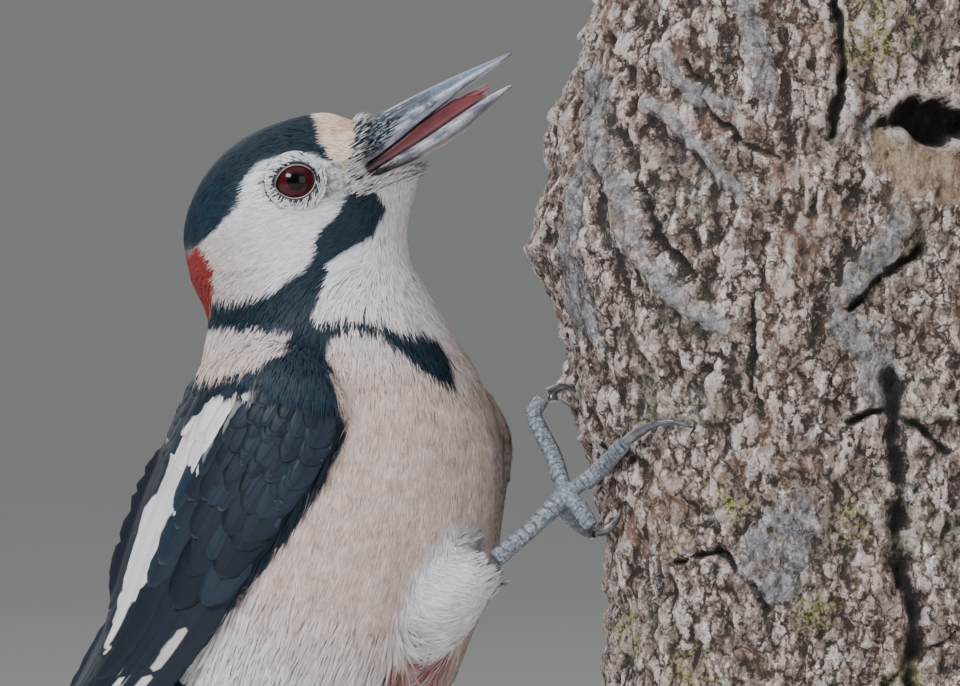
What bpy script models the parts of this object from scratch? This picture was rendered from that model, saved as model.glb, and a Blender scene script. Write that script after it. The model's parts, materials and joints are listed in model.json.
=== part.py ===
"""Great spotted woodpecker clinging to a short log, as a life-size display model on a plain stand.

The bird is laid out in millimetres about a datum at the top of its breast:
x runs from its back towards the log, y away from the viewer of its right side, z up.
"""

import math

import bmesh
import bpy
import numpy as np
from mathutils import Matrix, Vector
from mathutils.bvhtree import BVHTree

# ---- Driving dimensions, in millimetres and degrees ----

DATUM = np.array((-10.0, 0.0, 202.0))    # the bird's datum, in the model's own frame
GAP = 0.35                               # clearance between neighbouring pieces

BASE_SIZE = (200.0, 120.0, 12.0)
BASE_CORNER = 9.0
BASE_CHAMFER = 1.4
ROD_RADIUS = 4.0
ROD_SPREAD = 52.0                        # distance between the two rods

LOG_CENTRE = (62.0, 5.0)
LOG_HALF = (42.0, 34.0)
LOG_SQUARENESS = 3.0
LOG_BOTTOM = -170.0
LOG_TOP = 60.0
LOG_SIDES = 26
LOG_HEIGHTS = (*np.linspace(LOG_BOTTOM, -44.0, 8), *np.linspace(-38.0, LOG_TOP, 22))
# Heights up the side toward the bird, and how far the burr there stands out.
LOG_BURR = (
    (-42.0, 0.0), (-27.0, 0.0), (-21.0, 1.2), (-13.5, 4.8), (-2.6, 5.2), (2.0, 6.0), (6.7, 9.4),
    (14.0, 12.6), (19.8, 9.6), (27.0, 10.0), (34.0, 9.0), (41.5, 5.4), (47.0, 2.0), (53.0, 0.6), (60.0, 0.0),
)
LOG_FLARE = 41.0                         # how far the butt spreads under the tail
LOG_FLARE_START = -84.0

EYE_PLACE = (-28.3, 25.1)                # x and z of both eyes
EYE_RADIUS = 3.5
EYE_SINK = 2.0                           # how far the eyeball's centre lies under the face

TAIL_LENGTH = 76.0                       # past the coverts
TAIL_SWING = 20.0                        # forward from the vertical, towards the log
TAIL_TURN = 12.0

BODY_SIDES = 28
WING_SIDES = 10
LIMB_SIDES = 10

# The body from vent to forehead: centre x and z, lean of the spine, half depth,
# half width, turn of the breast towards the viewer, and how far the front narrows.
BODY_STATIONS = (
    ("tail_root", -46.6, -87.5, -19.0, 6.6, 9.6, 12.0, 0.0),
    ("vent", -43.0, -77.5, 19.0, 12.5, 13.5, 14.0, 0.0),
    ("rump", -38.0, -66.5, 21.0, 19.5, 19.5, 17.0, 0.0),
    ("lower_belly", -31.5, -50.8, 20.0, 25.5, 25.0, 22.0, 0.0),
    ("belly", -24.2, -31.0, 17.0, 27.2, 27.0, 29.0, 0.0),
    ("breast", -20.1, -15.0, 14.0, 25.2, 26.0, 34.0, 0.0),
    ("shoulder", -20.8, -4.5, 9.0, 22.6, 23.6, 33.0, 0.0),
    ("neck_base", -23.6, 3.6, 1.0, 19.2, 18.6, 24.0, 0.0),
    ("neck_top", -27.6, 11.0, -2.0, 17.9, 16.2, 9.0, 0.12),
    ("nape", -28.6, 17.6, 0.5, 17.7, 15.0, 1.0, 0.22),
    ("eye_line", -26.6, 24.0, 5.0, 16.9, 13.9, 0.0, 0.30),
    ("crown", -23.4, 28.6, 12.0, 14.6, 11.6, 0.0, 0.30),
    ("forehead", -19.4, 32.0, 17.0, 10.6, 8.4, 0.0, 0.22),
    ("top", -17.4, 34.2, 20.0, 6.2, 4.4, 0.0, 0.10),
)
NECK_FROM = 6.75                         # where the torso ends, counted in stations
NECK_TO = 8.3                            # where the head begins

# The folded wing past the end of the back: the same values as a body station.
WING_STATIONS = (
    (-45.0, -68.0, 24.0, 21.5, 20.0, 18.0),
    (-57.0, -84.0, 29.0, 16.0, 14.0, 16.0),
    (-67.5, -98.0, 32.0, 11.5, 9.0, 15.0),
    (-77.5, -110.0, 34.0, 8.5, 5.5, 15.0),
)
WING_TOP = 6.5                           # the wing starts here, counted in body stations
WING_LEAVES = 3.0                        # and leaves the body here
WING_FORWARD = {"right": 0.0, "left": 8.0}    # how much nearer the breast each front edge lies
# Share of the wing's length, angles of its front and rear edges from the breast's middle, thickness.
WING_PLAN = (
    (0.00, 76.0, 98.0, 1.2),
    (0.04, 63.0, 110.0, 2.8),
    (0.10, 54.0, 120.0, 3.8),
    (0.16, 54.0, 126.0, 4.0),
    (0.24, 62.0, 132.0, 3.6),
    (0.34, 76.0, 139.0, 3.1),
    (0.46, 92.0, 146.0, 2.8),
    (0.60, 110.0, 154.0, 2.3),
    (0.74, 122.0, 161.0, 1.8),
    (0.88, 141.0, 166.0, 1.4),
    (1.00, 156.0, 165.0, 0.9),
)

# The bill in section from base to tip: upper x and z, lower x and z, half width.
UPPER_BILL = (
    (-17.0, 34.7, -18.9, 25.9, 5.3),
    (-13.0, 36.9, -14.6, 29.3, 4.8),
    (-8.7, 39.1, -9.3, 33.9, 4.1),
    (-3.9, 41.4, -4.2, 38.0, 3.2),
    (0.8, 43.4, 0.4, 41.3, 2.1),
    (3.7, 44.6, 3.5, 43.5, 1.3),
    (5.2, 45.2, 5.0, 44.7, 0.8),
)
LOWER_BILL = (
    (-18.6, 25.0, -18.3, 24.9, 4.6),
    (-15.6, 27.5, -14.6, 26.6, 4.5),
    (-9.6, 31.2, -7.9, 29.3, 3.9),
    (-3.3, 35.5, -1.8, 33.3, 3.0),
    (0.6, 37.9, 1.7, 36.6, 2.1),
    (3.6, 39.5, 4.1, 38.9, 1.3),
    (4.9, 40.1, 5.1, 39.8, 0.8),
)
TONGUE_LINE = ((-9.8, 32.1), (-6.0, 35.15), (-2.2, 37.8), (1.3, 39.75))
TONGUE_RADII = (0.3, 0.62, 0.72, 0.42)
FACE_CUT = (
    (-16.6, 45.0), (-17.6, 34.6), (-19.5, 25.6), (-19.2, 24.3),
    (-7.4, 28.6), (9.0, 34.0), (9.0, 45.0),
)

# Legs: points along the feathered shin and the bare shank, each with its radius.
SHIN = {
    "right": ((-12.0, -12.0, -44.0, 8.0), (-4.5, -17.0, -38.5, 6.6), (1.6, -17.6, -34.0, 3.4)),
    "left": ((-14.0, 11.0, -55.0, 8.0), (-6.5, 14.5, -59.0, 6.0), (1.8, 16.8, -63.6, 2.8)),
}
SHANK = {
    "right": ((2.4, -17.4, -33.2, 1.35), (7.2, -15.6, -29.2, 1.2), (12.2, -13.6, -24.4, 1.5)),
    "left": ((2.8, 17.0, -64.4, 1.35), (8.4, 18.4, -68.6, 1.2), (13.0, 19.6, -73.0, 1.5)),
}
HUB = {"right": (13.4, -13.2, -23.2), "left": (14.0, 20.0, -74.2)}
HUB_RADIUS = 1.55
# Each toe: points from the foot to its claw, then the claw's points.
TOES = {
    "right": {
        "inner": (((12.3, -10.9, -20.9), (11.3, -9.4, -17.4), (9.3, -8.6, -13.4), (8.3, -8.2, -10.9),
                   (9.7, -8.0, -8.6)),
                  ((10.5, -7.9, -7.9), (12.2, -7.7, -6.9), (13.6, -7.5, -6.9), (14.8, -7.4, -7.6))),
        "middle": (((16.0, -13.8, -21.6), (18.8, -14.4, -19.2), (22.0, -15.2, -15.4)),
                   ((22.9, -15.6, -14.6), (25.7, -18.4, -12.8), (29.0, -21.4, -11.9), (32.4, -24.4, -12.9))),
        "outer": (((15.1, -14.8, -25.0), (16.2, -15.6, -26.8), (17.1, -15.8, -28.2)),
                  ((17.8, -15.9, -28.9), (19.4, -16.2, -28.8), (21.0, -16.6, -27.3), (21.5, -16.6, -25.8))),
        "hind": (((12.9, -10.9, -25.2), (14.6, -7.6, -27.4), (16.6, -4.4, -29.0)),
                 ((17.0, -3.6, -29.4), (17.8, -1.0, -29.6), (18.6, 0.8, -28.6), (19.0, 1.4, -27.4))),
    },
    "left": {
        "inner": (((14.0, 17.4, -72.4), (15.0, 14.6, -68.8), (16.0, 12.8, -65.2)),
                  ((16.4, 12.4, -64.2), (17.0, 11.8, -61.4), (18.0, 11.6, -59.0), (19.2, 11.4, -58.0))),
        "middle": (((15.6, 21.4, -72.0), (18.0, 23.4, -68.4), (20.6, 25.0, -65.0)),
                   ((21.2, 25.4, -64.0), (23.0, 27.2, -61.2), (25.6, 28.6, -59.6), (28.0, 29.4, -59.4))),
        "outer": (((16.4, 21.4, -75.6), (18.6, 23.6, -76.8), (20.8, 26.0, -77.6)),
                  ((21.4, 26.6, -77.8), (23.4, 28.6, -77.8), (25.4, 30.2, -76.8), (26.8, 30.8, -75.8))),
        "hind": (((13.6, 18.2, -76.4), (14.2, 15.2, -79.2), (14.6, 12.6, -81.6)),
                 ((14.8, 12.2, -82.4), (15.2, 10.6, -84.4), (16.0, 9.6, -85.6), (17.0, 9.2, -86.0))),
    },
}
SIDEWAYS_TOES = ("middle", "outer")      # these lie on the log's near or far face
TOE_RADII = (1.35, 1.15)
CLAW_RADII = (0.95, 0.28)

MATERIALS = {
    "plumage_black": ((0.014, 0.020, 0.030), 0.45, 0.0),
    "plumage_white": ((0.72, 0.69, 0.68), 0.85, 0.0),
    "plumage_buff": ((0.56, 0.42, 0.36), 0.9, 0.0),
    "vent_red": ((0.45, 0.06, 0.03), 0.9, 0.0),
    "bill_horn": ((0.20, 0.22, 0.27), 0.35, 0.0),
    "mouth": ((0.30, 0.05, 0.06), 0.4, 0.0),
    "eye": ((0.05, 0.006, 0.006), 0.05, 0.0),
    "leg_scale": ((0.19, 0.21, 0.25), 0.5, 0.0),
    "claw_horn": ((0.03, 0.03, 0.04), 0.3, 0.0),
    "bark": ((0.24, 0.19, 0.16), 0.9, 0.0),
    "base_board": ((0.06, 0.045, 0.035), 0.4, 0.0),
    "rod_steel": ((0.55, 0.55, 0.56), 0.3, 1.0),
}


# ---- Scene and mesh helpers ----

def clear_scene():
    """Remove every object of the open scene."""
    for item in list(bpy.data.objects):
        bpy.data.objects.remove(item, do_unlink=True)


def make_material(name):
    """Return the Principled material of that name."""
    found = bpy.data.materials.get(name)
    if found:
        return found
    colour, roughness, metallic = MATERIALS[name]
    material = bpy.data.materials.new(name)
    material.use_nodes = True
    shader = material.node_tree.nodes["Principled BSDF"]
    shader.inputs["Base Color"].default_value = (*colour, 1.0)
    shader.inputs["Roughness"].default_value = roughness
    shader.inputs["Metallic"].default_value = metallic
    material.diffuse_color = (*colour, 1.0)
    return material


def metres(point):
    """Turn a point of the bird's layout into the model's frame, in metres."""
    return Vector((np.asarray(point, float) + DATUM) * 0.001)


def add_object(name, mesh_data, material, smooth_angle=40.0):
    """Close a bmesh into an object with smooth faces and sharp edges past an angle."""
    bmesh.ops.triangulate(mesh_data, faces=[face for face in mesh_data.faces if len(face.verts) > 4])
    bmesh.ops.recalc_face_normals(mesh_data, faces=mesh_data.faces)
    mesh = bpy.data.meshes.new(name)
    mesh_data.to_mesh(mesh)
    mesh_data.free()
    mesh.shade_smooth()
    mesh.set_sharp_from_angle(angle=math.radians(smooth_angle))
    mesh.materials.append(make_material(material))
    item = bpy.data.objects.new(name, mesh)
    bpy.context.collection.objects.link(item)
    return item


def loft(rings):
    """Skin a list of equal rings of layout points and cap both ends."""
    mesh_data = bmesh.new()
    rows = [[mesh_data.verts.new(metres(point)) for point in ring] for ring in rings]
    sides = len(rows[0])
    for lower, upper in zip(rows, rows[1:]):
        for side in range(sides):
            after = (side + 1) % sides
            mesh_data.faces.new((lower[side], lower[after], upper[after], upper[side]))
    mesh_data.faces.new(rows[0][::-1])
    mesh_data.faces.new(rows[-1])
    return mesh_data


def cut(item, cutter):
    """Take a cutter's shape out of an object, and hide the cutter."""
    cutter.hide_render = True
    cutter.display_type = "WIRE"
    cutter.name = "cutter_" + item.name + "_" + cutter.name
    modifier = item.modifiers.new("cut_" + cutter.name, "BOOLEAN")
    modifier.operation = "DIFFERENCE"
    modifier.solver = "EXACT"
    modifier.object = cutter


def smooth_rows(rows, at):
    """Read a table of rows at a fractional row number along a smooth curve."""
    table = np.asarray(rows, float)
    first = int(min(max(math.floor(at), 0), len(table) - 2))
    share = at - first
    before = table[max(first - 1, 0)]
    start = table[first]
    end = table[first + 1]
    after = table[min(first + 2, len(table) - 1)]
    slope_in = (end - before) / 2
    slope_out = (after - start) / 2
    square = share * share
    cube = square * share
    return ((2 * cube - 3 * square + 1) * start + (cube - 2 * square + share) * slope_in
            + (3 * square - 2 * cube) * end + (cube - square) * slope_out)


def smoothstep(low, high, value):
    """Rise from 0 at low to 1 at high along an S curve."""
    share = min(max((value - low) / (high - low), 0.0), 1.0)
    return share * share * (3 - 2 * share)


# ---- Body ----

BODY_TABLE = tuple(row[1:] for row in BODY_STATIONS)


def section_frame(lean, turn):
    """Return the directions along the spine, to the breast and to the bird's right."""
    lean = math.radians(lean)
    turn = math.radians(turn)
    along = np.array((math.sin(lean), 0.0, math.cos(lean)))
    forward = np.array((math.cos(lean), 0.0, -math.sin(lean)))
    near = np.array((0.0, -1.0, 0.0))
    breast = forward * math.cos(turn) + near * math.sin(turn)
    right = near * math.cos(turn) - forward * math.sin(turn)
    return along, breast, right


def section_point(row, angle, grow=0.0):
    """Return the point of a body section at an angle from the breast's middle."""
    x, z, lean, depth, width, turn, taper = row
    _, breast, right = section_frame(lean, turn)
    forward = math.cos(angle)
    centre = np.array((x, 0.0, z))
    return (centre + breast * (depth + grow) * forward
            + right * (width + grow) * math.sin(angle) * (1 - taper * forward))


def body_piece(name, start, end, count, material, grow=0.0):
    """Loft the stretch of the body between two station numbers."""
    rings = []
    for index in range(count):
        row = smooth_rows(BODY_TABLE, start + (end - start) * index / (count - 1))
        angles = [2 * math.pi * side / BODY_SIDES for side in range(BODY_SIDES)]
        rings.append([section_point(row, angle, grow) for angle in angles])
    first_along = section_frame(*smooth_rows(BODY_TABLE, start)[[2, 5]])[0]
    last_along = section_frame(*smooth_rows(BODY_TABLE, end)[[2, 5]])[0]
    rings[0] = [point + first_along * GAP * 0.6 for point in rings[0]]
    rings[-1] = [point - last_along * GAP * 0.6 for point in rings[-1]]
    return add_object(name, loft(rings), material)


def make_body():
    """Make the torso, the neck and the head, with the face cut open for the bill."""
    last = len(BODY_TABLE) - 1
    torso = body_piece("torso", 0.0, NECK_FROM, 15, "plumage_buff")
    neck = body_piece("neck", NECK_FROM, NECK_TO, 6, "plumage_white")
    head = body_piece("head", NECK_TO, last, 13, "plumage_black")
    prism = bmesh.new()
    sides = [[prism.verts.new(metres((x, y, z))) for x, z in FACE_CUT] for y in (-25.0, 25.0)]
    count = len(FACE_CUT)
    for corner in range(count):
        after = (corner + 1) % count
        prism.faces.new((sides[0][corner], sides[0][after], sides[1][after], sides[1][corner]))
    prism.faces.new(sides[0][::-1])
    prism.faces.new(sides[1])
    cut(head, add_object("face", prism, "mouth"))
    return torso, neck, head


def make_ball(name, centre, radius, material, segments=16, rings=10):
    """Make a sphere about a layout point."""
    mesh_data = bmesh.new()
    bmesh.ops.create_uvsphere(mesh_data, u_segments=segments, v_segments=rings, radius=radius * 0.001)
    bmesh.ops.rotate(mesh_data, verts=mesh_data.verts, matrix=Matrix.Rotation(math.radians(90), 3, "X"))
    bmesh.ops.translate(mesh_data, verts=mesh_data.verts, vec=metres(centre))
    return add_object(name, mesh_data, material)


def make_eyes(head):
    """Set an eyeball into a socket on each side of the face."""
    mesh_data = bmesh.new()
    mesh_data.from_mesh(head.data)
    surface = BVHTree.FromBMesh(mesh_data)
    mesh_data.free()
    for side, toward in (("right", 1.0), ("left", -1.0)):
        outside = metres((EYE_PLACE[0], -40.0 * toward, EYE_PLACE[1]))
        hit, normal, _, _ = surface.ray_cast(outside, Vector((0.0, toward, 0.0)))
        on_face = np.array(hit) * 1000 - DATUM
        centre = on_face - np.array(normal) * EYE_SINK
        make_ball("eye_" + side, centre, EYE_RADIUS, "eye")
        cut(head, make_ball("socket_" + side, centre, EYE_RADIUS + GAP, "mouth"))


# ---- Bill ----

def bill_half(name, stations, count, edge_at_top):
    """Loft one half of the bill, round outside and flat towards the mouth."""
    rings = []
    sides = 12
    for index in range(count):
        row = smooth_rows(stations, (len(stations) - 1) * index / (count - 1))
        top = np.array((row[0], 0.0, row[1]))
        bottom = np.array((row[2], 0.0, row[3]))
        width = row[4]
        ring = []
        for side in range(sides):
            angle = 2 * math.pi * side / sides
            height = 0.5 + 0.5 * math.cos(angle)
            if edge_at_top:
                height = 1 - (1 - height) ** 0.8
                spread = abs(math.sin(angle)) ** 0.75 * (0.72 + 0.42 * height)
            else:
                height = height ** 0.8
                spread = abs(math.sin(angle)) ** 0.75 * (1.14 - 0.42 * height)
            offset = math.copysign(spread, math.sin(angle)) * width
            ring.append(bottom + (top - bottom) * height + np.array((0.0, -offset, 0.0)))
        rings.append(ring)
    return add_object(name, loft(rings), "bill_horn", 50.0)


def tube(name, points, radii, material, sides=LIMB_SIDES, count=None):
    """Loft a round tapering limb along a smooth line of layout points."""
    points = np.asarray(points, float)
    shares = np.linspace(0, 1, len(points))
    thickness = np.interp(shares, np.linspace(0, 1, len(radii)), radii)
    rows = np.column_stack((points, thickness))
    count = count or 3 * (len(points) - 1) + 1
    steps = [smooth_rows(rows, (len(rows) - 1) * index / (count - 1)) for index in range(count)]
    rings = []
    guide = None
    for index, step in enumerate(steps):
        before = steps[max(index - 1, 0)][:3]
        after = steps[min(index + 1, count - 1)][:3]
        along = (after - before) / np.linalg.norm(after - before)
        if guide is None:
            guide = np.cross(along, (0.0, 1.0, 0.0))
        guide = guide - along * np.dot(guide, along)
        guide = guide / np.linalg.norm(guide)
        cross = np.cross(along, guide)
        angles = [2 * math.pi * side / sides for side in range(sides)]
        rings.append([step[:3] + (guide * math.cos(a) + cross * math.sin(a)) * step[3] for a in angles])
    return add_object(name, loft(rings), material)


def make_bill():
    """Make both halves of the bill and the tongue between them."""
    bill_half("bill_upper", UPPER_BILL, 11, False)
    bill_half("bill_lower", LOWER_BILL, 11, True)
    line = [(x, 0.0, z) for x, z in TONGUE_LINE]
    tube("tongue", line, TONGUE_RADII, "mouth", 8, 8)


# ---- Wings and tail ----

def wing_row(share):
    """Return the section the wing lies on, at a share of its length."""
    body_share = 0.47
    if share <= body_share:
        at = WING_TOP + (WING_LEAVES - WING_TOP) * share / body_share
        row = smooth_rows(BODY_TABLE, at)
        return np.array((*row[:3], row[3] + GAP * 1.6, row[4] + GAP * 1.6, row[5], 0.0))
    leaving = smooth_rows(BODY_TABLE, WING_LEAVES)
    above = smooth_rows(BODY_TABLE, WING_LEAVES + 1)
    lift = GAP * 1.6
    rows = [(*row[:3], row[3] + lift, row[4] + lift, row[5]) for row in (above, leaving)]
    rows += WING_STATIONS
    at = 1 + (len(WING_STATIONS)) * (share - body_share) / (1 - body_share)
    return np.array((*smooth_rows(rows, at), 0.0))


def make_wing(side):
    """Loft a folded wing as a thin shell over the flank, from the wrist to the tip."""
    plan = np.asarray(WING_PLAN)
    sign = 1.0 if side == "right" else -1.0
    rings = []
    for share in np.linspace(0.0, 1.0, 18):
        row = wing_row(share)
        front, rear, thick = (np.interp(share, plan[:, 0], plan[:, column]) for column in (1, 2, 3))
        across = np.linspace(front - WING_FORWARD[side], rear, WING_SIDES)
        inner = [section_point(row, sign * math.radians(angle)) for angle in across]
        crown = [0.6 + (thick - 0.6) * math.sin(math.pi * (index + 0.6) / (WING_SIDES + 0.2)) ** 0.6
                 for index in range(WING_SIDES)]
        outer = [section_point(row, sign * math.radians(angle), rise)
                 for angle, rise in zip(across, crown)]
        rings.append(outer + inner[::-1])
    return add_object("wing_" + side, loft(rings), "plumage_black", 55.0)


def tail_frame():
    """Return the tail's root and its directions: along, across and to its upper side."""
    swing = math.radians(TAIL_SWING)
    turn = math.radians(TAIL_TURN)
    along = np.array((math.sin(swing) * math.cos(turn), -math.sin(swing) * math.sin(turn), -math.cos(swing)))
    across = np.array((-math.sin(turn), -math.cos(turn), 0.0))
    upper = np.cross(across, along)
    root = np.array((BODY_TABLE[0][0], 0.0, BODY_TABLE[0][1]))
    return root, along, across, upper


def tail_section(share):
    """Return the tail's half width, thickness and arch at a share of its length."""
    half = 9.0 + 8.6 * math.sin(math.pi * min(share, 0.6) / 1.2) - 14.0 * smoothstep(0.5, 1.1, share)
    return half, 2.3 - 1.4 * share, 2.8 - 1.4 * share


def make_tail():
    """Loft the stiff tail, arched across and pointed where it props on the log."""
    root, along, across, upper = tail_frame()
    rings = []
    sides = 16
    for share in np.linspace(0.0, 1.0, 12):
        half, thick, arch = tail_section(share)
        ring = []
        for side in range(sides):
            angle = 2 * math.pi * side / sides
            over = math.cos(angle)
            rise = math.sin(angle) * thick * 0.5 - arch * over * over
            ring.append(root + along * (GAP * 2 + TAIL_LENGTH * share) + across * half * over + upper * rise)
        rings.append(ring)
    return add_object("tail", loft(rings), "plumage_black", 50.0)


def make_tail_coverts(name, length, depth, facing, material):
    """Loft the pad of coverts that runs from the body onto one face of the tail."""
    root, along, across, upper = tail_frame()
    rings = []
    steps = 7
    for share in np.linspace(0.0, 1.0, 8):
        reach = length * share
        half, thick, arch = tail_section(reach / TAIL_LENGTH)
        width = 8.4 + 1.2 * math.sin(math.pi * share) - 5.4 * share ** 3
        pile = depth * (1 - share ** 1.6) + 0.5
        near = []
        far = []
        for step in range(steps):
            over = math.cos(math.pi * step / (steps - 1))
            level = thick * 0.5 * math.sqrt(max(1 - (width * over / half) ** 2, 0.0)) + GAP
            seat = facing * level - arch * (width * over / half) ** 2
            crest = seat + facing * (0.4 + pile * math.sqrt(1 - over * over))
            spot = root + along * (GAP * 2 + reach) + across * width * over
            near.append(spot + upper * seat)
            far.append(spot + upper * crest)
        rings.append(near + far[::-1])
    return add_object(name, loft(rings), material, 50.0)


# ---- Legs ----

def log_section(height):
    """Return the log's reach to the left and the shape of its section at a height."""
    heights, reaches = zip(*LOG_BURR)
    depth = max((LOG_FLARE_START - height) / (LOG_FLARE_START - LOG_BOTTOM), 0.0)
    return float(np.interp(height, heights, reaches)), LOG_FLARE * depth ** 1.35, 1 + 0.10 * depth ** 1.5


def log_radius(angle, height):
    """Return how far the log's bark is from its axis, at an angle and a height."""
    burr, flare, spread = log_section(height)
    power = LOG_SQUARENESS
    across = abs(math.cos(angle)) / LOG_HALF[0]
    deep = abs(math.sin(angle)) / LOG_HALF[1]
    radius = spread * (across ** power + deep ** power) ** (-1 / power)
    toward_bird = max(-math.cos(angle), 0.0)
    radius += burr * toward_bird ** 1.2 + flare * toward_bird ** 1.6
    return radius + 0.9 * math.sin(3 * angle + 0.02 * height) * smoothstep(-0.2, 0.6, math.cos(angle))


def clearance(point):
    """Return about how far a layout point stands off the bark."""
    x, y, z = point
    away = np.array((x - LOG_CENTRE[0], y - LOG_CENTRE[1]))
    angle = math.atan2(away[1], away[0])
    here = log_radius(angle, z)
    slope = (log_radius(angle + 0.02, z) - log_radius(angle - 0.02, z)) / (0.04 * here)
    upright = (log_radius(angle, z + 1) - log_radius(angle, z - 1)) / 2
    return (np.linalg.norm(away) - here) / math.sqrt(1 + slope * slope + upright * upright)


def rest_on_log(point, radius, toward):
    """Move a point along a direction until a ball about it just clears the bark."""
    place = np.asarray(point, float)
    wanted = radius + GAP + 0.1
    while clearance(place) < wanted:
        place = place + toward * 0.05
    return place


def make_leg(side):
    """Make the feathered shin, the shank with its hub, and four toes with claws."""
    shin = np.asarray(SHIN[side])
    shank = np.asarray(SHANK[side])
    thigh = tube("thigh_" + side, shin[:, :3], shin[:, 3], "plumage_white", 16, 9)
    cut(thigh, body_piece("torso_room_" + side, 0.0, NECK_FROM, 15, "plumage_buff", GAP))
    line = np.vstack((shank[:, :3], np.asarray(HUB[side])))
    tube("tarsus_" + side, line, (*shank[:, 3], HUB_RADIUS), "leg_scale", LIMB_SIDES, 8)
    for toe, (toe_line, claw_line) in TOES[side].items():
        toward = np.array((-1.0, 0.0, 0.0))
        if toe in SIDEWAYS_TOES:
            toward = np.array((0.0, -1.0 if side == "right" else 1.0, 0.0))
        toe_line = [rest_on_log(point, TOE_RADII[0], toward) for point in toe_line]
        thinning = np.linspace(*CLAW_RADII, len(claw_line))
        claw_line = [rest_on_log(point, radius, toward) for point, radius in zip(claw_line, thinning)]
        tube("toe_" + side + "_" + toe, toe_line, TOE_RADII, "leg_scale", 8)
        tube("claw_" + side + "_" + toe, claw_line, CLAW_RADII, "claw_horn", 6, 7)


# ---- Log and stand ----

def make_log():
    """Make the cut length of trunk, with a burr beside the head and a spread butt."""
    rings = []
    for height in LOG_HEIGHTS:
        ring = []
        for side in range(LOG_SIDES):
            angle = 2 * math.pi * side / LOG_SIDES
            reach = log_radius(angle, height)
            x = LOG_CENTRE[0] + reach * math.cos(angle)
            y = LOG_CENTRE[1] + reach * math.sin(angle)
            ring.append((x, y, height))
        rings.append(ring)
    return add_object("perch_log", loft(rings), "bark", 45.0)


def rounded_rectangle(width, depth, corner, inset, height):
    """Return a ring round a rectangle with round corners, in the model's frame."""
    ring = []
    for quarter in range(4):
        middle_x = (width / 2 - corner) * (1 if quarter in (0, 3) else -1)
        middle_y = (depth / 2 - corner) * (1 if quarter in (0, 1) else -1)
        for step in range(5):
            angle = math.radians(90 * quarter + 22.5 * step)
            ring.append(np.array((middle_x + (corner - inset) * math.cos(angle),
                                  middle_y + (corner - inset) * math.sin(angle), height)) - DATUM)
    return ring


def make_stand():
    """Make the base board and the two rods up to the log."""
    width, depth, thick = BASE_SIZE
    heights = ((0.0, 0.0), (0.0, thick - BASE_CHAMFER), (BASE_CHAMFER, thick))
    rings = [rounded_rectangle(width, depth, BASE_CORNER, inset, height) for inset, height in heights]
    add_object("stand_base", loft(rings), "base_board", 30.0)
    bottom = thick - DATUM[2] + GAP
    top = LOG_BOTTOM - GAP
    for number, offset in enumerate((-0.5, 0.5), start=1):
        x = LOG_CENTRE[0] - 8.0 + ROD_SPREAD * offset
        line = [(x, LOG_CENTRE[1], bottom), (x, LOG_CENTRE[1], top)]
        tube("stand_rod_" + str(number), line, (ROD_RADIUS, ROD_RADIUS), "rod_steel", 20, 2)


def main():
    """Build the whole model."""
    clear_scene()
    _, _, head = make_body()
    make_eyes(head)
    make_bill()
    for side in ("right", "left"):
        make_wing(side)
        make_leg(side)
    make_tail()
    make_tail_coverts("undertail", 34.0, 5.4, -1.0, "vent_red")
    make_tail_coverts("uppertail", 27.0, 3.2, 1.0, "plumage_black")
    make_log()
    make_stand()


main()
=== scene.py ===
import json
import math

import bmesh
import bpy
import numpy as np
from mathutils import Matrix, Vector
from mathutils.bvhtree import BVHTree

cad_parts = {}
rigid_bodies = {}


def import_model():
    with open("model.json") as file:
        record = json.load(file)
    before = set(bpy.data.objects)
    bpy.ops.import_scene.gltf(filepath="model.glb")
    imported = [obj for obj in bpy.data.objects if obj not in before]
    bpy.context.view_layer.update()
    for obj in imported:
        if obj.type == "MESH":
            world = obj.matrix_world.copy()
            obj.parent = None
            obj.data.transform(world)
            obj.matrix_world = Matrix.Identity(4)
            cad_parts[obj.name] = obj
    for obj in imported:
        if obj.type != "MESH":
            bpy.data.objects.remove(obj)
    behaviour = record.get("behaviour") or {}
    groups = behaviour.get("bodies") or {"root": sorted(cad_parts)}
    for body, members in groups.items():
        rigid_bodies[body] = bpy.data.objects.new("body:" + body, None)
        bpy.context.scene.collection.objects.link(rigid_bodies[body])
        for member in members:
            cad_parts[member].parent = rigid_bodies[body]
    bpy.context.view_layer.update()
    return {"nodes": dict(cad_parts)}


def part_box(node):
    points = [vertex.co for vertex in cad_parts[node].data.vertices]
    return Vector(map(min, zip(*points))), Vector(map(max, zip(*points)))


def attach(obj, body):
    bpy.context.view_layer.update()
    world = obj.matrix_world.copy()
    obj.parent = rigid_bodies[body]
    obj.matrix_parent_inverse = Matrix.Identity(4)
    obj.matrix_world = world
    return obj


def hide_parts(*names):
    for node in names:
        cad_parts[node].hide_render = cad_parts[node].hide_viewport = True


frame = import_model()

# Everything on the bird is laid out in millimetres about a datum at the top of its breast.
baseLow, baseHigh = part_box("stand_base")
datum = np.array((
    (baseLow.x + baseHigh.x) * 500 - 10.0,
    (baseLow.y + baseHigh.y) * 500,
    baseLow.z * 1000 + 202.0,
))
rng = np.random.default_rng(1758)


def toWorld(points):
    return (np.asarray(points, float) + datum) * 0.001


def toLayout(points):
    return np.asarray(points, float) * 1000 - datum


def unit(vectors):
    length = np.linalg.norm(vectors, axis=-1, keepdims=True)
    return vectors / np.maximum(length, 1e-9)


def rise(low, high, value):
    share = np.clip((value - low) / (high - low), 0.0, 1.0)
    return share * share * (3 - 2 * share)


# Noise, worked out in arrays, for shapes.

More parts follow.
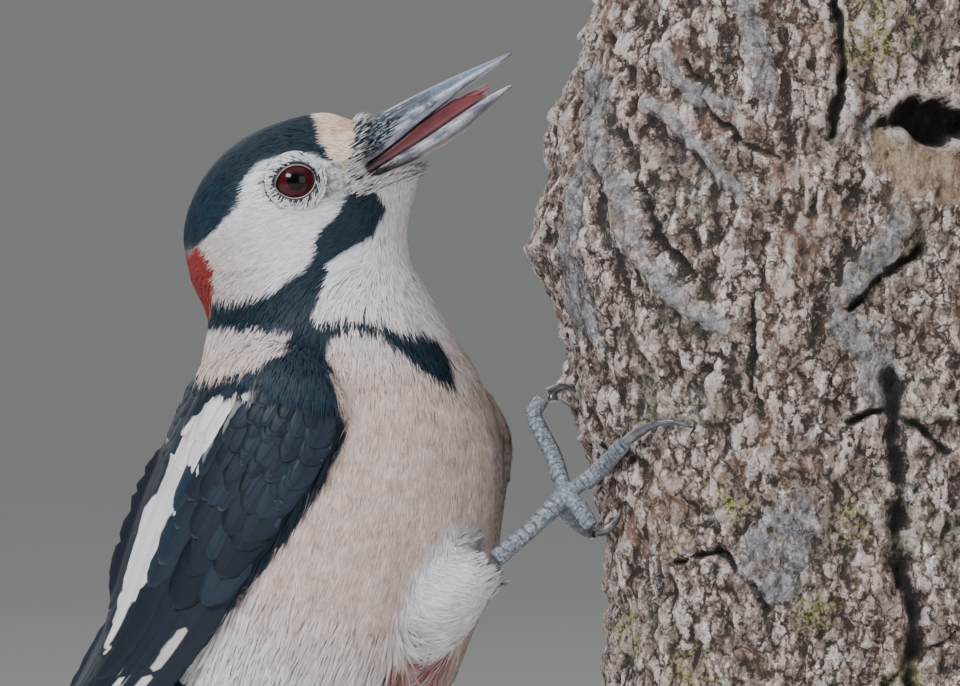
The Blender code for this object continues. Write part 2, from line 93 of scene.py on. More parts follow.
def latticeValue(cells, seed):
    cells = cells.astype(np.int64)
    mixed = cells[..., 0] * 73856093 ^ cells[..., 1] * 19349663 ^ cells[..., 2] * 83492791
    mixed = mixed ^ seed * 2654435761
    mixed = (mixed ^ (mixed >> 13)) * 1274126177 & 0xFFFFFFFF
    mixed = (mixed ^ (mixed >> 15)) * 2246822519 & 0xFFFFFFFF
    return (mixed >> 8 & 0xFFFF) / 65535.0


def valueNoise(points, size, seed=0):
    # -1 to 1; size is the width of one lump
    scaled = np.asarray(points, float) / size
    cell = np.floor(scaled)
    share = scaled - cell
    share = share * share * (3 - 2 * share)
    total = 0.0
    for corner in range(8):
        step = np.array((corner & 1, corner >> 1 & 1, corner >> 2 & 1))
        weight = np.prod(np.where(step, share, 1 - share), axis=-1)
        total = total + weight * latticeValue(cell + step, seed)
    return total * 2 - 1


def layeredNoise(points, size, layers=4, seed=0):
    total = 0.0
    for layer in range(layers):
        total = total + valueNoise(points, size / 2 ** layer, seed + layer * 7) / 2 ** layer
    return total / 1.9


def cellNoise(points, size, seed=0):
    # distances to the nearest two cell centres, in cell widths, and the nearest cell's own value
    scaled = np.asarray(points, float) / size
    cell = np.floor(scaled)
    nearest = np.full(len(scaled), 9.0)
    second = np.full(len(scaled), 9.0)
    value = np.zeros(len(scaled))
    for x in (-1, 0, 1):
        for y in (-1, 0, 1):
            for z in (-1, 0, 1):
                other = cell + (x, y, z)
                jitter = np.stack([latticeValue(other, seed + axis * 31) for axis in range(3)], axis=-1)
                away = np.linalg.norm(other + jitter - scaled, axis=-1)
                second = np.minimum(second, np.maximum(away, nearest))
                value = np.where(away < nearest, latticeValue(other, seed + 99), value)
                nearest = np.minimum(nearest, away)
    return nearest, second, value


class Socket:
    # wraps an output socket or a number; plain arithmetic adds Math nodes
    def __init__(self, paint, source):
        self.paint = paint
        self.source = source

    def combine(self, operation, *others):
        values = {index: other for index, other in enumerate((self, *others))}
        return self.paint.node("ShaderNodeMath", {"operation": operation}, values)

    def __add__(self, other):
        return self.combine("ADD", other)

    __radd__ = __add__

    def __sub__(self, other):
        return self.combine("SUBTRACT", other)

    def __rsub__(self, other):
        return self.paint.node("ShaderNodeMath", {"operation": "SUBTRACT"}, {0: other, 1: self})

    def __mul__(self, other):
        return self.combine("MULTIPLY", other)

    __rmul__ = __mul__

    def clamp(self):
        return self.paint.node("ShaderNodeClamp", {}, {"Value": self})

    def sine(self):
        return self.combine("SINE")

    def ramp(self, low, high):
        values = {"Value": self, "From Min": low, "From Max": high}
        return self.paint.node("ShaderNodeMapRange", {"interpolation_type": "SMOOTHSTEP"}, values)


class Paint:
    # one material and the nodes in it
    def __init__(self, name):
        self.material = bpy.data.materials.new(name)
        self.material.use_nodes = True
        self.nodes = self.material.node_tree.nodes
        self.links = self.material.node_tree.links
        self.shader = self.nodes["Principled BSDF"]

    def give(self, target, value):
        if isinstance(value, Socket):
            self.links.new(value.source, target)
        elif isinstance(value, (tuple, list)) and len(value) == 3 and target.type == "RGBA":
            target.default_value = (*value, 1.0)
        else:
            target.default_value = value

    def node(self, kind, settings, values, output=0):
        made = self.nodes.new(kind)
        for name, value in settings.items():
            setattr(made, name, value)
        for name, value in values.items():
            self.give(made.inputs[name], value)
        return Socket(self, made.outputs[output])

    def outputOf(self, socket, name):
        return Socket(self, socket.source.node.outputs[name])

    def parts(self, name):
        colour = self.node("ShaderNodeAttribute", {"attribute_name": name}, {})
        split = self.node("ShaderNodeSeparateColor", {}, {"Color": colour})
        three = [self.outputOf(split, each) for each in ("Red", "Green", "Blue")]
        return (*three, self.outputOf(colour, "Alpha"))

    def place(self):
        return self.node("ShaderNodeTexCoord", {}, {}, "Object")

    def stretch(self, vector, scale):
        settings = {"operation": "MULTIPLY"}
        return self.node("ShaderNodeVectorMath", settings, {0: vector, 1: scale})

    def noise(self, size, detail=4.0, rough=0.55, vector=None, distort=0.0):
        # size of one lump in millimetres
        values = {"Scale": 1000.0 / size, "Detail": detail, "Roughness": rough, "Distortion": distort}
        values["Vector"] = vector or self.place()
        return self.node("ShaderNodeTexNoise", {}, values)

    def cells(self, size, feature="F1", vector=None):
        values = {"Scale": 1000.0 / size, "Vector": vector or self.place()}
        return self.node("ShaderNodeTexVoronoi", {"feature": feature}, values)

    def blend(self, share, first, second, how="MIX"):
        settings = {"data_type": "RGBA", "blend_type": how}
        return self.node("ShaderNodeMix", settings, {0: share, 6: first, 7: second}, 2)

    def bump(self, height, strength, distance):
        values = {"Height": height, "Strength": strength, "Distance": distance * 0.001}
        return self.node("ShaderNodeBump", {}, values)

    def finish(self, **values):
        for name, value in values.items():
            self.give(self.shader.inputs[name.replace("_", " ")], value)
        return self.material


def newMesh(name, vertices, faces, material):
    mesh = bpy.data.meshes.new(name)
    mesh.from_pydata(vertices, [], faces)
    mesh.shade_smooth()
    mesh.materials.append(material)
    item = bpy.data.objects.new(name, mesh)
    bpy.context.scene.collection.objects.link(item)
    return item


def arrayMesh(name, vertices, triangles, quads, material):
    # the same from arrays, which is quick for many thousands of faces
    triangles = np.asarray(triangles, np.int32).reshape(-1, 3)
    quads = np.asarray(quads, np.int32).reshape(-1, 4)
    mesh = bpy.data.meshes.new(name)
    mesh.vertices.add(len(vertices))
    mesh.vertices.foreach_set("co", np.asarray(vertices, np.float32).ravel())
    corners = np.concatenate((triangles.ravel(), quads.ravel()))
    mesh.loops.add(len(corners))
    mesh.loops.foreach_set("vertex_index", corners)
    starts = np.concatenate((np.arange(len(triangles)) * 3, len(triangles) * 3 + np.arange(len(quads)) * 4))
    mesh.polygons.add(len(starts))
    mesh.polygons.foreach_set("loop_start", starts.astype(np.int32))
    mesh.update(calc_edges=True)
    mesh.shade_smooth()
    mesh.materials.append(material)
    item = bpy.data.objects.new(name, mesh)
    bpy.context.scene.collection.objects.link(item)
    return item


def giveColours(item, name, values):
    layer = item.data.attributes.new(name, "FLOAT_COLOR", "POINT")
    layer.data.foreach_set("color", np.asarray(values, np.float32).ravel())


def giveMap(item, name, places):
    corner = np.zeros(len(item.data.loops), np.int32)
    item.data.loops.foreach_get("vertex_index", corner)
    layer = item.data.uv_layers.new(name=name)
    layer.data.foreach_set("uv", np.asarray(places, np.float32)[corner].ravel())


def meshPoints(item):
    points = np.zeros(len(item.data.vertices) * 3, np.float32)
    item.data.vertices.foreach_get("co", points)
    return points.reshape(-1, 3).astype(float)


def meshNormals(item):
    normals = np.zeros(len(item.data.vertices) * 3, np.float32)
    item.data.vertices.foreach_get("normal", normals)
    return normals.reshape(-1, 3).astype(float)


def setPoints(item, points):
    item.data.vertices.foreach_set("co", np.asarray(points, np.float32).ravel())
    item.data.update()


def applyModifiers(item):
    graph = bpy.context.evaluated_depsgraph_get()
    made = bpy.data.meshes.new_from_object(item.evaluated_get(graph))
    item.modifiers.clear()
    item.data = made
    return item


def joinedCopy(name, nodes, grow, clip=None):
    # copies of CAD nodes in one mesh, each grown a little so that neighbours meet
    whole = bmesh.new()
    for node in nodes:
        piece = bmesh.new()
        piece.from_mesh(frame["nodes"][node].data)
        bmesh.ops.remove_doubles(piece, verts=piece.verts, dist=1e-6)
        bmesh.ops.recalc_face_normals(piece, faces=piece.faces)
        if clip and node in clip:
            place, normal = clip[node]
            geometry = piece.verts[:] + piece.edges[:] + piece.faces[:]
            bmesh.ops.bisect_plane(piece, geom=geometry, plane_co=place, plane_no=normal, clear_outer=True)
            bmesh.ops.holes_fill(piece, edges=piece.edges)
            bmesh.ops.recalc_face_normals(piece, faces=piece.faces)
        piece.normal_update()
        for vertex in piece.verts:
            vertex.co += vertex.normal * grow * 0.001
        scratch = bpy.data.meshes.new("scratch")
        piece.to_mesh(scratch)
        piece.free()
        whole.from_mesh(scratch)
        bpy.data.meshes.remove(scratch)
    mesh = bpy.data.meshes.new(name)
    whole.to_mesh(mesh)
    whole.free()
    item = bpy.data.objects.new(name, mesh)
    bpy.context.scene.collection.objects.link(item)
    return item


def remeshed(item, voxel, smoothing):
    modifier = item.modifiers.new("remesh", "REMESH")
    modifier.mode = "VOXEL"
    modifier.voxel_size = voxel * 0.001
    if smoothing:
        relax = item.modifiers.new("relax", "SMOOTH")
        relax.factor = 0.5
        relax.iterations = smoothing
    applyModifiers(item)
    item.data.shade_smooth()
    return item


def treeOf(item):
    mesh = item.data
    points = [vertex.co.copy() for vertex in mesh.vertices]
    return BVHTree.FromPolygons(points, [tuple(face.vertices) for face in mesh.polygons])


def nearest(tree, worldPoints):
    # nearest surface points and normals, as arrays
    places = np.empty((len(worldPoints), 3))
    normals = np.empty((len(worldPoints), 3))
    for index, point in enumerate(worldPoints):
        place, normal, _, _ = tree.find_nearest(Vector(point))
        places[index] = place
        normals[index] = normal
    return places, normals


view = {
    "distance": 1.75,          # metres from the bird's middle plane
    "width": 0.1488,           # what the picture's width takes in there
    "centre": (0.0, 0.0, 0.0),  # from the datum, millimetres
}


def makeCamera():
    centre = Vector(toWorld(view["centre"]))
    data = bpy.data.cameras.new("camera")
    data.sensor_width = 36.0
    data.lens = 36.0 * view["distance"] / view["width"]
    data.clip_start = 0.05
    data.clip_end = 60.0
    data.dof.use_dof = False
    camera = bpy.data.objects.new("camera", data)
    camera.location = centre - Vector((0.0, view["distance"], 0.0))
    camera.rotation_euler = (math.radians(90), 0.0, 0.0)
    bpy.context.scene.collection.objects.link(camera)
    bpy.context.scene.camera = camera


studio = {
    "keyEnergy": 46.0,
    "fillEnergy": 11.0,
    "backEnergy": 14.0,
    "overEnergy": 60.0,
    "world": 0.27,
    "floorColour": (0.86, 0.855, 0.84),
    "floorRadius": 30.0,
    "wallHeight": 12.0,
}


def makeLight(name, place, aim, size, energy, colour):
    data = bpy.data.lights.new(name, "AREA")
    data.shape = "RECTANGLE"
    data.size, data.size_y = size
    data.energy = energy
    data.color = colour
    light = bpy.data.objects.new(name, data)
    light.location = place
    light.rotation_euler = (Vector(aim) - Vector(place)).to_track_quat("-Z", "Y").to_euler()
    bpy.context.scene.collection.objects.link(light)


def makeStudio():
    middle = (0.0, 0.0, 0.17)
    makeLight("key", (-0.95, -1.15, 1.35), middle, (0.7, 0.55), studio["keyEnergy"], (0.93, 0.97, 1.0))
    makeLight("fill", (1.3, -1.2, 0.7), middle, (1.2, 1.2), studio["fillEnergy"], (1.0, 0.98, 0.95))
    makeLight("back", (-0.7, 1.5, 1.1), middle, (1.0, 1.0), studio["backEnergy"], (1.0, 1.0, 1.0))
    makeLight("over", (0.0, 0.0, 3.1), (0.0, 0.0, 0.0), (5.0, 5.0), studio["overEnergy"], (1.0, 1.0, 1.0))
    world = bpy.data.worlds.new("studio")
    world.use_nodes = True
    background = world.node_tree.nodes["Background"]
    background.inputs["Color"].default_value = (0.86, 0.88, 0.9, 1.0)
    background.inputs["Strength"].default_value = studio["world"]
    bpy.context.scene.world = world
    # a floor whose far edge curves up all round into a pale wall
    radius = studio["floorRadius"]
    rings = [(radius * 0.2, 0.0), (radius * 0.5, 0.0)]
    for step in range(1, 9):
        angle = math.pi / 2 * step / 8
        bend = radius * 0.3
        rings.append((radius * 0.5 + bend * math.sin(angle), bend * (1 - math.cos(angle))))
    rings.append((rings[-1][0], studio["wallHeight"]))
    sides = 72
    vertices = [(0.0, 0.0, 0.0)]
    faces = []
    for ring, (reach, height) in enumerate(rings):
        for side in range(sides):
            turn = 2 * math.pi * side / sides
            vertices.append((reach * math.cos(turn), reach * math.sin(turn), height))
            after = (side + 1) % sides
            if ring == 0:
                faces.append((0, 1 + side, 1 + after))
            else:
                low = 1 + (ring - 1) * sides
                faces.append((low + side, low + sides + side, low + sides + after, low + after))
    paint = Paint("floorPaint")
    tone = paint.noise(900.0, 3.0)
    colour = paint.blend(tone, studio["floorColour"], (0.90, 0.895, 0.885))
    floor = newMesh("floor", vertices, faces, paint.finish(Base_Color=colour, Roughness=0.9))
    floor.location.z = baseLow.z - 0.0004


makeCamera()
makeStudio()
print("camera, lights and floor made")


# Height, middle, lean and turn of the body from the tail's root to the forehead.
bodyLine = {
    "height": (-120.0, -87.5, -66.5, -50.8, -31.0, -15.0, -4.5, 3.6, 11.0, 17.6, 24.0, 32.0),
    "middle": (-35.0, -46.6, -38.0, -31.5, -24.2, -20.1, -20.8, -23.6, -27.6, -28.6, -26.6, -19.4),
    "lean": (-20.0, 5.0, 21.0, 20.0, 17.0, 14.0, 9.0, 1.0, -2.0, 0.5, 5.0, 17.0),
    "turn": (12.0, 12.0, 17.0, 22.0, 29.0, 34.0, 33.0, 24.0, 9.0, 1.0, 0.0, 0.0),
}


def bodyFrame(level):
    table = bodyLine["height"]
    middle = np.interp(level, table, bodyLine["middle"])
    lean = np.radians(np.interp(level, table, bodyLine["lean"]))
    turn = np.radians(np.interp(level, table, bodyLine["turn"]))
    zero = np.zeros_like(middle)
    centre = np.stack((middle, zero, level), axis=-1)
    along = np.stack((np.sin(lean), zero, np.cos(lean)), axis=-1)
    forward = np.stack((np.cos(lean), zero, -np.sin(lean)), axis=-1)
    near = np.stack((zero, zero - 1, zero), axis=-1)
    breast = forward * np.cos(turn)[..., None] + near * np.sin(turn)[..., None]
    right = near * np.cos(turn)[..., None] - forward * np.sin(turn)[..., None]
    return centre, along, breast, right


def bodyPlace(points):
    # level along the body, angle from the breast's middle (degrees), and the point folded to the right side
    points = np.asarray(points, float)
    level = points[..., 2].copy()
    for _ in range(6):
        centre, along, _, _ = bodyFrame(level)
        level = np.clip(level + np.sum((points - centre) * along, axis=-1) * 0.8, -118.0, 36.0)
    centre, along, breast, right = bodyFrame(level)
    offset = points - centre
    front = np.sum(offset * breast, axis=-1)
    side = np.sum(offset * right, axis=-1)
    rest = np.sum(offset * along, axis=-1)
    folded = centre + breast * front[..., None] + right * np.abs(side)[..., None] + along * rest[..., None]
    return level, np.degrees(np.arctan2(side, front)), folded


def insideOutline(points, outline, soft):
    # 1 inside a closed outline and 0 outside, with a soft edge
    outline = np.asarray(outline, float)
    x, z = points[..., 0], points[..., 1]
    inside = np.zeros(x.shape, bool)
    away = np.full(x.shape, 1e9)
    for start, end in zip(outline, np.roll(outline, -1, axis=0)):
        crosses = (start[1] > z) != (end[1] > z)
        reach = start[0] + (z - start[1]) * (end[0] - start[0]) / (end[1] - start[1] + 1e-12)
        inside ^= crosses & (x < reach)
        edge = end - start
        share = np.clip(((x - start[0]) * edge[0] + (z - start[1]) * edge[1]) / (edge @ edge), 0, 1)
        away = np.minimum(away, np.hypot(x - start[0] - share * edge[0], z - start[1] - share * edge[1]))
    signed = np.where(inside, away, -away)
    return rise(-soft, soft, signed)


# Outlines of the markings as the right side shows them, x and z from the datum.
markings = {
    "crown": (
        (-22.6, 27.2), (-25.6, 28.9), (-29.2, 29.3), (-33.9, 27.6), (-36.9, 24.3), (-36.8, 21.7),
        (-39.5, 18.4), (-42.6, 15.6), (-44.8, 13.9), (-52.0, 14.5), (-52.0, 42.0), (-25.6, 42.0),
        (-26.0, 35.2), (-24.9, 31.5),
    ),
    "forehead": (
        (-26.2, 42.0), (-26.0, 35.2), (-24.9, 31.5), (-22.6, 27.2), (-21.0, 26.6), (-19.0, 29.5),
        (-17.4, 33.0), (-14.0, 42.0),
    ),
    "nape": ((-52.0, 15.6), (-43.6, 14.9), (-41.6, 12.4), (-41.0, 8.4), (-41.2, 4.2), (-52.0, 3.4)),
    "malar": (
        (-19.4, 25.0), (-21.4, 20.8), (-23.9, 17.8), (-25.3, 15.5), (-25.9, 12.6), (-27.6, 10.7),
        (-30.7, 8.4), (-34.7, 6.7), (-38.3, 6.0), (-41.1, 6.7), (-43.4, 7.8), (-52.0, 7.8),
        (-52.0, 2.6), (-42.8, 2.5), (-36.0, 1.9), (-28.7, 1.1), (-29.8, -1.2), (-24.0, -2.5),
        (-23.2, 0.2), (-24.6, 2.0), (-25.4, 4.4), (-24.6, 7.6), (-23.4, 10.6), (-23.4, 12.4),
        (-20.9, 13.9), (-16.7, 16.4), (-14.6, 20.3), (-15.6, 22.4), (-17.4, 24.4),
    ),
    "breastBar": (
        (-26.0, 2.2), (-20.0, 3.4), (-15.5, 2.9), (-11.5, 0.9), (-7.6, 1.4), (-4.9, -2.6),
        (-3.9, -7.5), (-5.6, -6.6), (-7.6, -5.6), (-11.5, -2.3), (-15.5, 1.0), (-20.0, 1.9), (-26.0, -1.6),
    ),
    "mantle": (
        (-90.0, -5.8), (-43.9, -5.9), (-38.1, -5.3), (-33.8, -3.6), (-29.8, -1.2), (-24.0, -1.4),
        (-21.6, -8.4), (-20.2, -14.3), (-21.6, -17.0), (-25.9, -25.2), (-32.8, -34.5), (-37.9, -41.0),
        (-44.8, -49.5), (-47.5, -53.3), (-58.0, -66.0), (-75.0, -90.0), (-110.0, -125.0), (-110.0, -5.8),
    ),
    "scapular": (
        (-40.4, -7.6), (-36.8, -7.9), (-33.2, -5.9), (-33.4, -7.4), (-36.4, -10.2), (-39.0, -13.8),
        (-41.6, -17.6), (-43.9, -20.4), (-46.6, -23.6), (-48.0, -27.2), (-49.2, -31.6), (-50.4, -34.8),
        (-54.2, -41.8), (-57.6, -48.4), (-62.0, -50.4), (-57.6, -40.6), (-53.6, -32.4), (-52.4, -27.0),
        (-48.6, -21.0), (-47.4, -16.8), (-44.8, -12.6),
    ),
    "vent": (
        (-13.4, -49.6), (-9.0, -48.4), (-4.6, -46.8), (2.0, -51.0), (0.0, -70.0), (-16.0, -100.0),
        (-30.0, -112.0), (-40.0, -100.0), (-30.0, -76.0), (-20.5, -60.0), (-15.0, -52.0),
    ),
    "lore": ((-22.6, 27.6), (-25.0, 26.6), (-25.2, 23.6), (-22.0, 20.8), (-19.2, 24.4), (-19.0, 29.0)),
}


feet = {
    "right": (13.4, -13.2, -23.2),
    "left": (14.0, 20.0, -74.2),
}
shins = {
    "right": ((-12.0, -12.0, -44.0), (-4.5, -17.0, -38.5), (1.6, -17.6, -34.0)),
    "left": ((-14.0, 11.0, -55.0), (-6.5, 14.5, -59.0), (1.8, 16.8, -63.6)),
}


def shinWays(points):
    # how much each point belongs to a feathered shin, and the way down it
    belongs = np.zeros(len(points))
    ways = np.zeros((len(points), 3))
    for line in shins.values():
        for first, second in zip(line[:-1], line[1:]):
            first, second = np.array(first), np.array(second)
            way = second - first
            share = np.clip((points - first) @ way / (way @ way), 0.0, 1.0)
            gap = np.linalg.norm(points - first - share[:, None] * way, axis=1)
            close = rise(9.5, 7.0, gap)
            ways = np.where((close > belongs)[:, None], unit(way), ways)
            belongs = np.maximum(belongs, close)
    return belongs, ways


def paintMasks(points):
    # the shares of black, red, tan and pink at each layout point, and of brown, grey and white; the grey
    # share also holds painted shade on the far flank
    points = np.asarray(points, float)
    level, angle, folded = bodyPlace(points)
    jitter = layeredNoise(points, 1.7, 2, 5) * 0.55
    flat = folded[..., [0, 2]] + np.stack((jitter, layeredNoise(points + 40.0, 1.7, 2, 9) * 0.55), axis=-1)
    masks = {name: insideOutline(flat, outline, 0.35) for name, outline in markings.items()}
    turned = np.abs(angle)
    masks["breastBar"] = masks["breastBar"] * np.where(angle < 0, rise(24.0, 32.0, turned), 1.0)
    # painted shade: the far flank is greyed where the breast turns away from the light
    farFlankShade = rise(-7.0, -20.0, angle) * rise(-75.0, -60.0, angle)
    farFlankShade = farFlankShade * rise(-7.0, -13.0, level) * rise(-52.0, -42.0, level)
    black = np.maximum.reduce((masks["crown"], masks["malar"], masks["breastBar"], masks["mantle"]))
    rump = rise(98.0, 112.0, turned + jitter * 8) * rise(-46.0, -50.0, level)
    black = np.maximum(black, rump)
    spine = rise(152.0, 160.0, turned + jitter * 8) * rise(8.0, 3.0, level) * rise(-46.0, -40.0, level)
    black = np.maximum(black, spine)
    white = masks["scapular"] * rise(84.0, 92.0, turned) * rise(136.0, 130.0, turned + jitter * 5)
    black = black * (1 - white)
    red = masks["nape"] * (1 - masks["crown"] * 0.9)
    red = np.maximum(red, masks["vent"] * (1 - rump) * rise(-0.9, 0.9, layeredNoise(points, 1.3, 2, 57)))
    black = black * (1 - red)
    tan = masks["forehead"] * (1 - masks["crown"])
    belongs, _ = shinWays(points)
    pink = rise(9.0, -8.0, level) * rise(-62.0, -34.0, level) * (1 - belongs * 0.85)
    brown = rise(-27.0, -40.0, flat[..., 0]) * rise(1.0, 6.0, level) * rise(24.0, 14.0, level)
    # grey is the lore's own grey together with the painted shade on the far flank
    return {
        "black": black, "red": red, "tan": tan, "pink": pink, "brown": brown,
        "grey": np.maximum(masks["lore"], farFlankShade), "white": white, "level": level, "angle": angle,
    }


def unwrap(level, angle):
    # the skin's own unwrap: round the body and along it
    return np.stack((0.5 + angle / 372.0, 0.02 + (level + 120.0) / 160.0 * 0.96), axis=-1)


def giveMarks(item, masks, shade, along):
    marks = np.stack([masks[key] for key in ("black", "red", "tan", "pink")], axis=-1)
    giveColours(item, "marks", marks)
    giveColours(item, "tones", np.stack((masks["brown"], masks["grey"], shade, along), axis=-1))


plumage = {
    "black": (0.0034, 0.0060, 0.0100),
    # painted sheen: the lighter blue that black feathers show in their gloss
    "blackSheen": (0.013, 0.034, 0.056),
    "white": (0.655, 0.635, 0.68),
    "pink": (0.565, 0.435, 0.385),
    "tan": (0.74, 0.58, 0.44),
    "tanDeep": (0.50, 0.29, 0.16),
    "brown": (0.42, 0.33, 0.30),
    # grey: the lore's own grey, also used as painted shade on the far flank
    "grey": (0.20, 0.20, 0.22),
    "red": (0.27, 0.026, 0.022),
    "redDeep": (0.10, 0.009, 0.010),
}


def plumagePaint(name, roughness):
    paint = Paint(name)
    black, red, tan, pink = paint.parts("marks")
    brown, grey, shade, along = paint.parts("tones")
    soft = paint.noise(6.0, 3.0)
    fine = paint.noise(0.9, 3.0)
    pale = paint.blend((pink * (0.65 + soft * 0.6)).clamp(), plumage["white"], plumage["pink"])
    mottle = paint.noise(2.6, 3.0, 0.6)
    pale = paint.blend(pink * mottle.ramp(0.50, 0.68) * 0.55, pale, (0.40, 0.285, 0.225))
    pale = paint.blend(pink * mottle.ramp(0.46, 0.32) * 0.4, pale, (0.70, 0.62, 0.61))
    pale = paint.blend(soft.ramp(0.50, 0.72) * 0.28, pale, (0.42, 0.385, 0.415))
    pale = paint.blend((brown * (0.4 + fine * 0.7)).clamp(), pale, plumage["brown"])
    tanTone = paint.blend(soft.ramp(0.5, 0.66) * 0.8, plumage["tan"], plumage["tanDeep"])
    pale = paint.blend((tan * (0.75 + fine * 0.4)).clamp(), pale, tanTone)
    # grey: the lore's own colour, and painted shade on the far flank
    pale = paint.blend((grey * (0.25 + fine.ramp(0.4, 0.62) * 0.65)).clamp(), pale, plumage["grey"])
    # roots sit in shadow and each tuft has its own tone
    tone = 0.55 + shade * 0.34 + along * 0.25
    level = paint.node("ShaderNodeCombineColor", {}, {"Red": tone, "Green": tone, "Blue": tone})
    pale = paint.blend(1.0, pale, level, "MULTIPLY")
    redTone = paint.blend((shade * 0.6 + fine * 0.5).clamp(), plumage["red"], plumage["redDeep"])
    pale = paint.blend(red, pale, redTone)
    # painted sheen: black tufts lighten toward blue by tuft, toward the tip and in patches, standing in for
    # gloss
    gloss = (shade * 0.55 + along * 0.2) * (0.35 + soft * 0.9 + mottle * 0.5)
    dark = paint.blend(gloss.clamp(), plumage["black"], plumage["blackSheen"])
    colour = paint.blend(black, pale, dark)
    rough = roughness - black * 0.14 + fine * 0.1
    normal = paint.bump(fine, 0.25, 0.06)
    material = paint.finish(Base_Color=colour, Roughness=rough, Normal=normal)
    paint.shader.inputs["Specular IOR Level"].default_value = 0.16
    return material


coatMaterial = plumagePaint("plumage", 0.6)
skinMaterial = plumagePaint("plumageSkin", 0.8)


skinShape = {
    "grow": 0.32,
    "voxel": 0.70,
    "smoothing": 8,
    "coatDepth": 0.95,        # how far the skin lies inside the solids
    "faceDepth": 0.55,
    "wingClip": -70.0,        # the wings' blades below this level are made of vanes alone
}
fleshNodes = ("head", "neck", "torso", "thigh_right", "thigh_left", "undertail", "uppertail")


def makeSkin():
    # the wings lie on the skin as far as the rump
    place = Vector(toWorld((-46.0, 0.0, skinShape["wingClip"] + 4.0)))
    clip = {node: (place, Vector((-0.34, 0.0, -0.94))) for node in ("wing_right", "wing_left")}
    skin = joinedCopy("skin", fleshNodes + ("wing_right", "wing_left"), skinShape["grow"], clip)
    remeshed(skin, skinShape["voxel"], skinShape["smoothing"])
    points = toLayout(meshPoints(skin))
    normals = meshNormals(skin)
    level, _, _ = bodyPlace(points)
    depth = np.interp(level, (4.0, 16.0), (skinShape["coatDepth"], skinShape["faceDepth"]))
    points -= normals * (depth + skinShape["grow"])[:, None]
    setPoints(skin, toWorld(points))
    skin.data.materials.append(skinMaterial)
    masks = paintMasks(points)
    # painted shade: the skin under the coat takes the darker tone of the tufts' shaded roots
    giveMarks(skin, masks, np.full(len(points), 0.35), np.full(len(points), 0.3))
    giveMap(skin, "OFBake", unwrap(masks["level"], masks["angle"]))
    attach(skin, "root")
    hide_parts(*fleshNodes)
    return skin


skin = makeSkin()
skinTree = treeOf(skin)
print("skin made:", len(skin.data.vertices), "points")


# Each patch of coat: the levels it covers, how many tufts, and their length, width and lift in millimetres.
coats = {
    "coatCrown": {"levels": (22.0, 60.0), "count": 18000, "length": 2.5, "width": 0.27, "lift": 0.23},
    "coatCheek": {"levels": (12.0, 22.0), "count": 18000, "length": 3.2, "width": 0.29, "lift": 0.24},
    "coatNeck": {"levels": (-5.0, 12.0), "count": 18000, "length": 4.3, "width": 0.29, "lift": 0.48},
    "coatBreast": {"levels": (-20.0, -5.0), "count": 18500, "length": 5.0, "width": 0.33, "lift": 0.5},
    "coatFlank": {"levels": (-37.0, -20.0), "count": 18500, "length": 5.4, "width": 0.36, "lift": 0.55},
    "coatBelly": {"levels": (-120.0, -37.0), "count": 18600, "length": 6.6, "width": 0.50, "lift": 0.8},
}
billRoot = np.array((-17.0, 0.0, 30.0))
headFlow = np.array((8.0, 0.0, 33.0))


def lieOfCoat(points, normals, level):
    # feathers lie back from the bill over the head, then down the body; the chin's hang straight down
    _, along, _, _ = bodyFrame(level)
    fromBill = unit(points - headFlow)
    share = rise(1.0, 14.0, level) * (1 - rise(-19.0, -12.0, points[:, 0]) * rise(32.0, 26.0, points[:, 2]))
    share = share[:, None]
    lie = fromBill * share - along * (1.02 - share)
    belongs, ways = shinWays(points)
    down = ways * (1.0, 1.0, 0.7) - (0.0, 0.0, 0.35)
    lie = lie * (1 - belongs[:, None] * 0.8) + down * belongs[:, None] * 1.2
    lie = lie - normals * np.sum(lie * normals, axis=-1, keepdims=True)
    return unit(lie)


def surfaceSamples(item, keep, count):
    # points spread over the surface as keep() weighs it, with their normals
    mesh = item.data
    mesh.calc_loop_triangles()
    corners = np.zeros(len(mesh.loop_triangles) * 3, np.int32)
    mesh.loop_triangles.foreach_get("vertices", corners)
    points = toLayout(meshPoints(item))
    normals = meshNormals(item)
    corners = corners.reshape(-1, 3)
    a, b, c = (points[corners[:, each]] for each in range(3))
    area = np.linalg.norm(np.cross(b - a, c - a), axis=1) * 0.5
    share = keep(points)
    weight = area * np.mean(share[corners], axis=1)
    chosen = rng.choice(len(corners), size=count, p=weight / weight.sum())
    one, two = rng.random((2, count))
    flip = one + two > 1
    one, two = np.where(flip, 1 - one, one), np.where(flip, 1 - two, two)
    shares = np.stack((1 - one - two, one, two), axis=-1)[..., None]
    places = np.sum(points[corners[chosen]] * shares, axis=1)
    facing = unit(np.sum(normals[corners[chosen]] * shares, axis=1))
    return places, facing


def vaned(folded, angle):
    # where the mantle, the rump and the wings carry whole feathers instead of soft tufts
    covered = insideOutline(folded[..., [0, 2]], markings["mantle"], 0.8)
    return covered * rise(84.0, 94.0, np.abs(angle))


sliver = {
    "stations": (0.0, 0.5, 1.0),
    "widths": (0.6, 1.0, 0.0),
    "thick": 0.10,
}


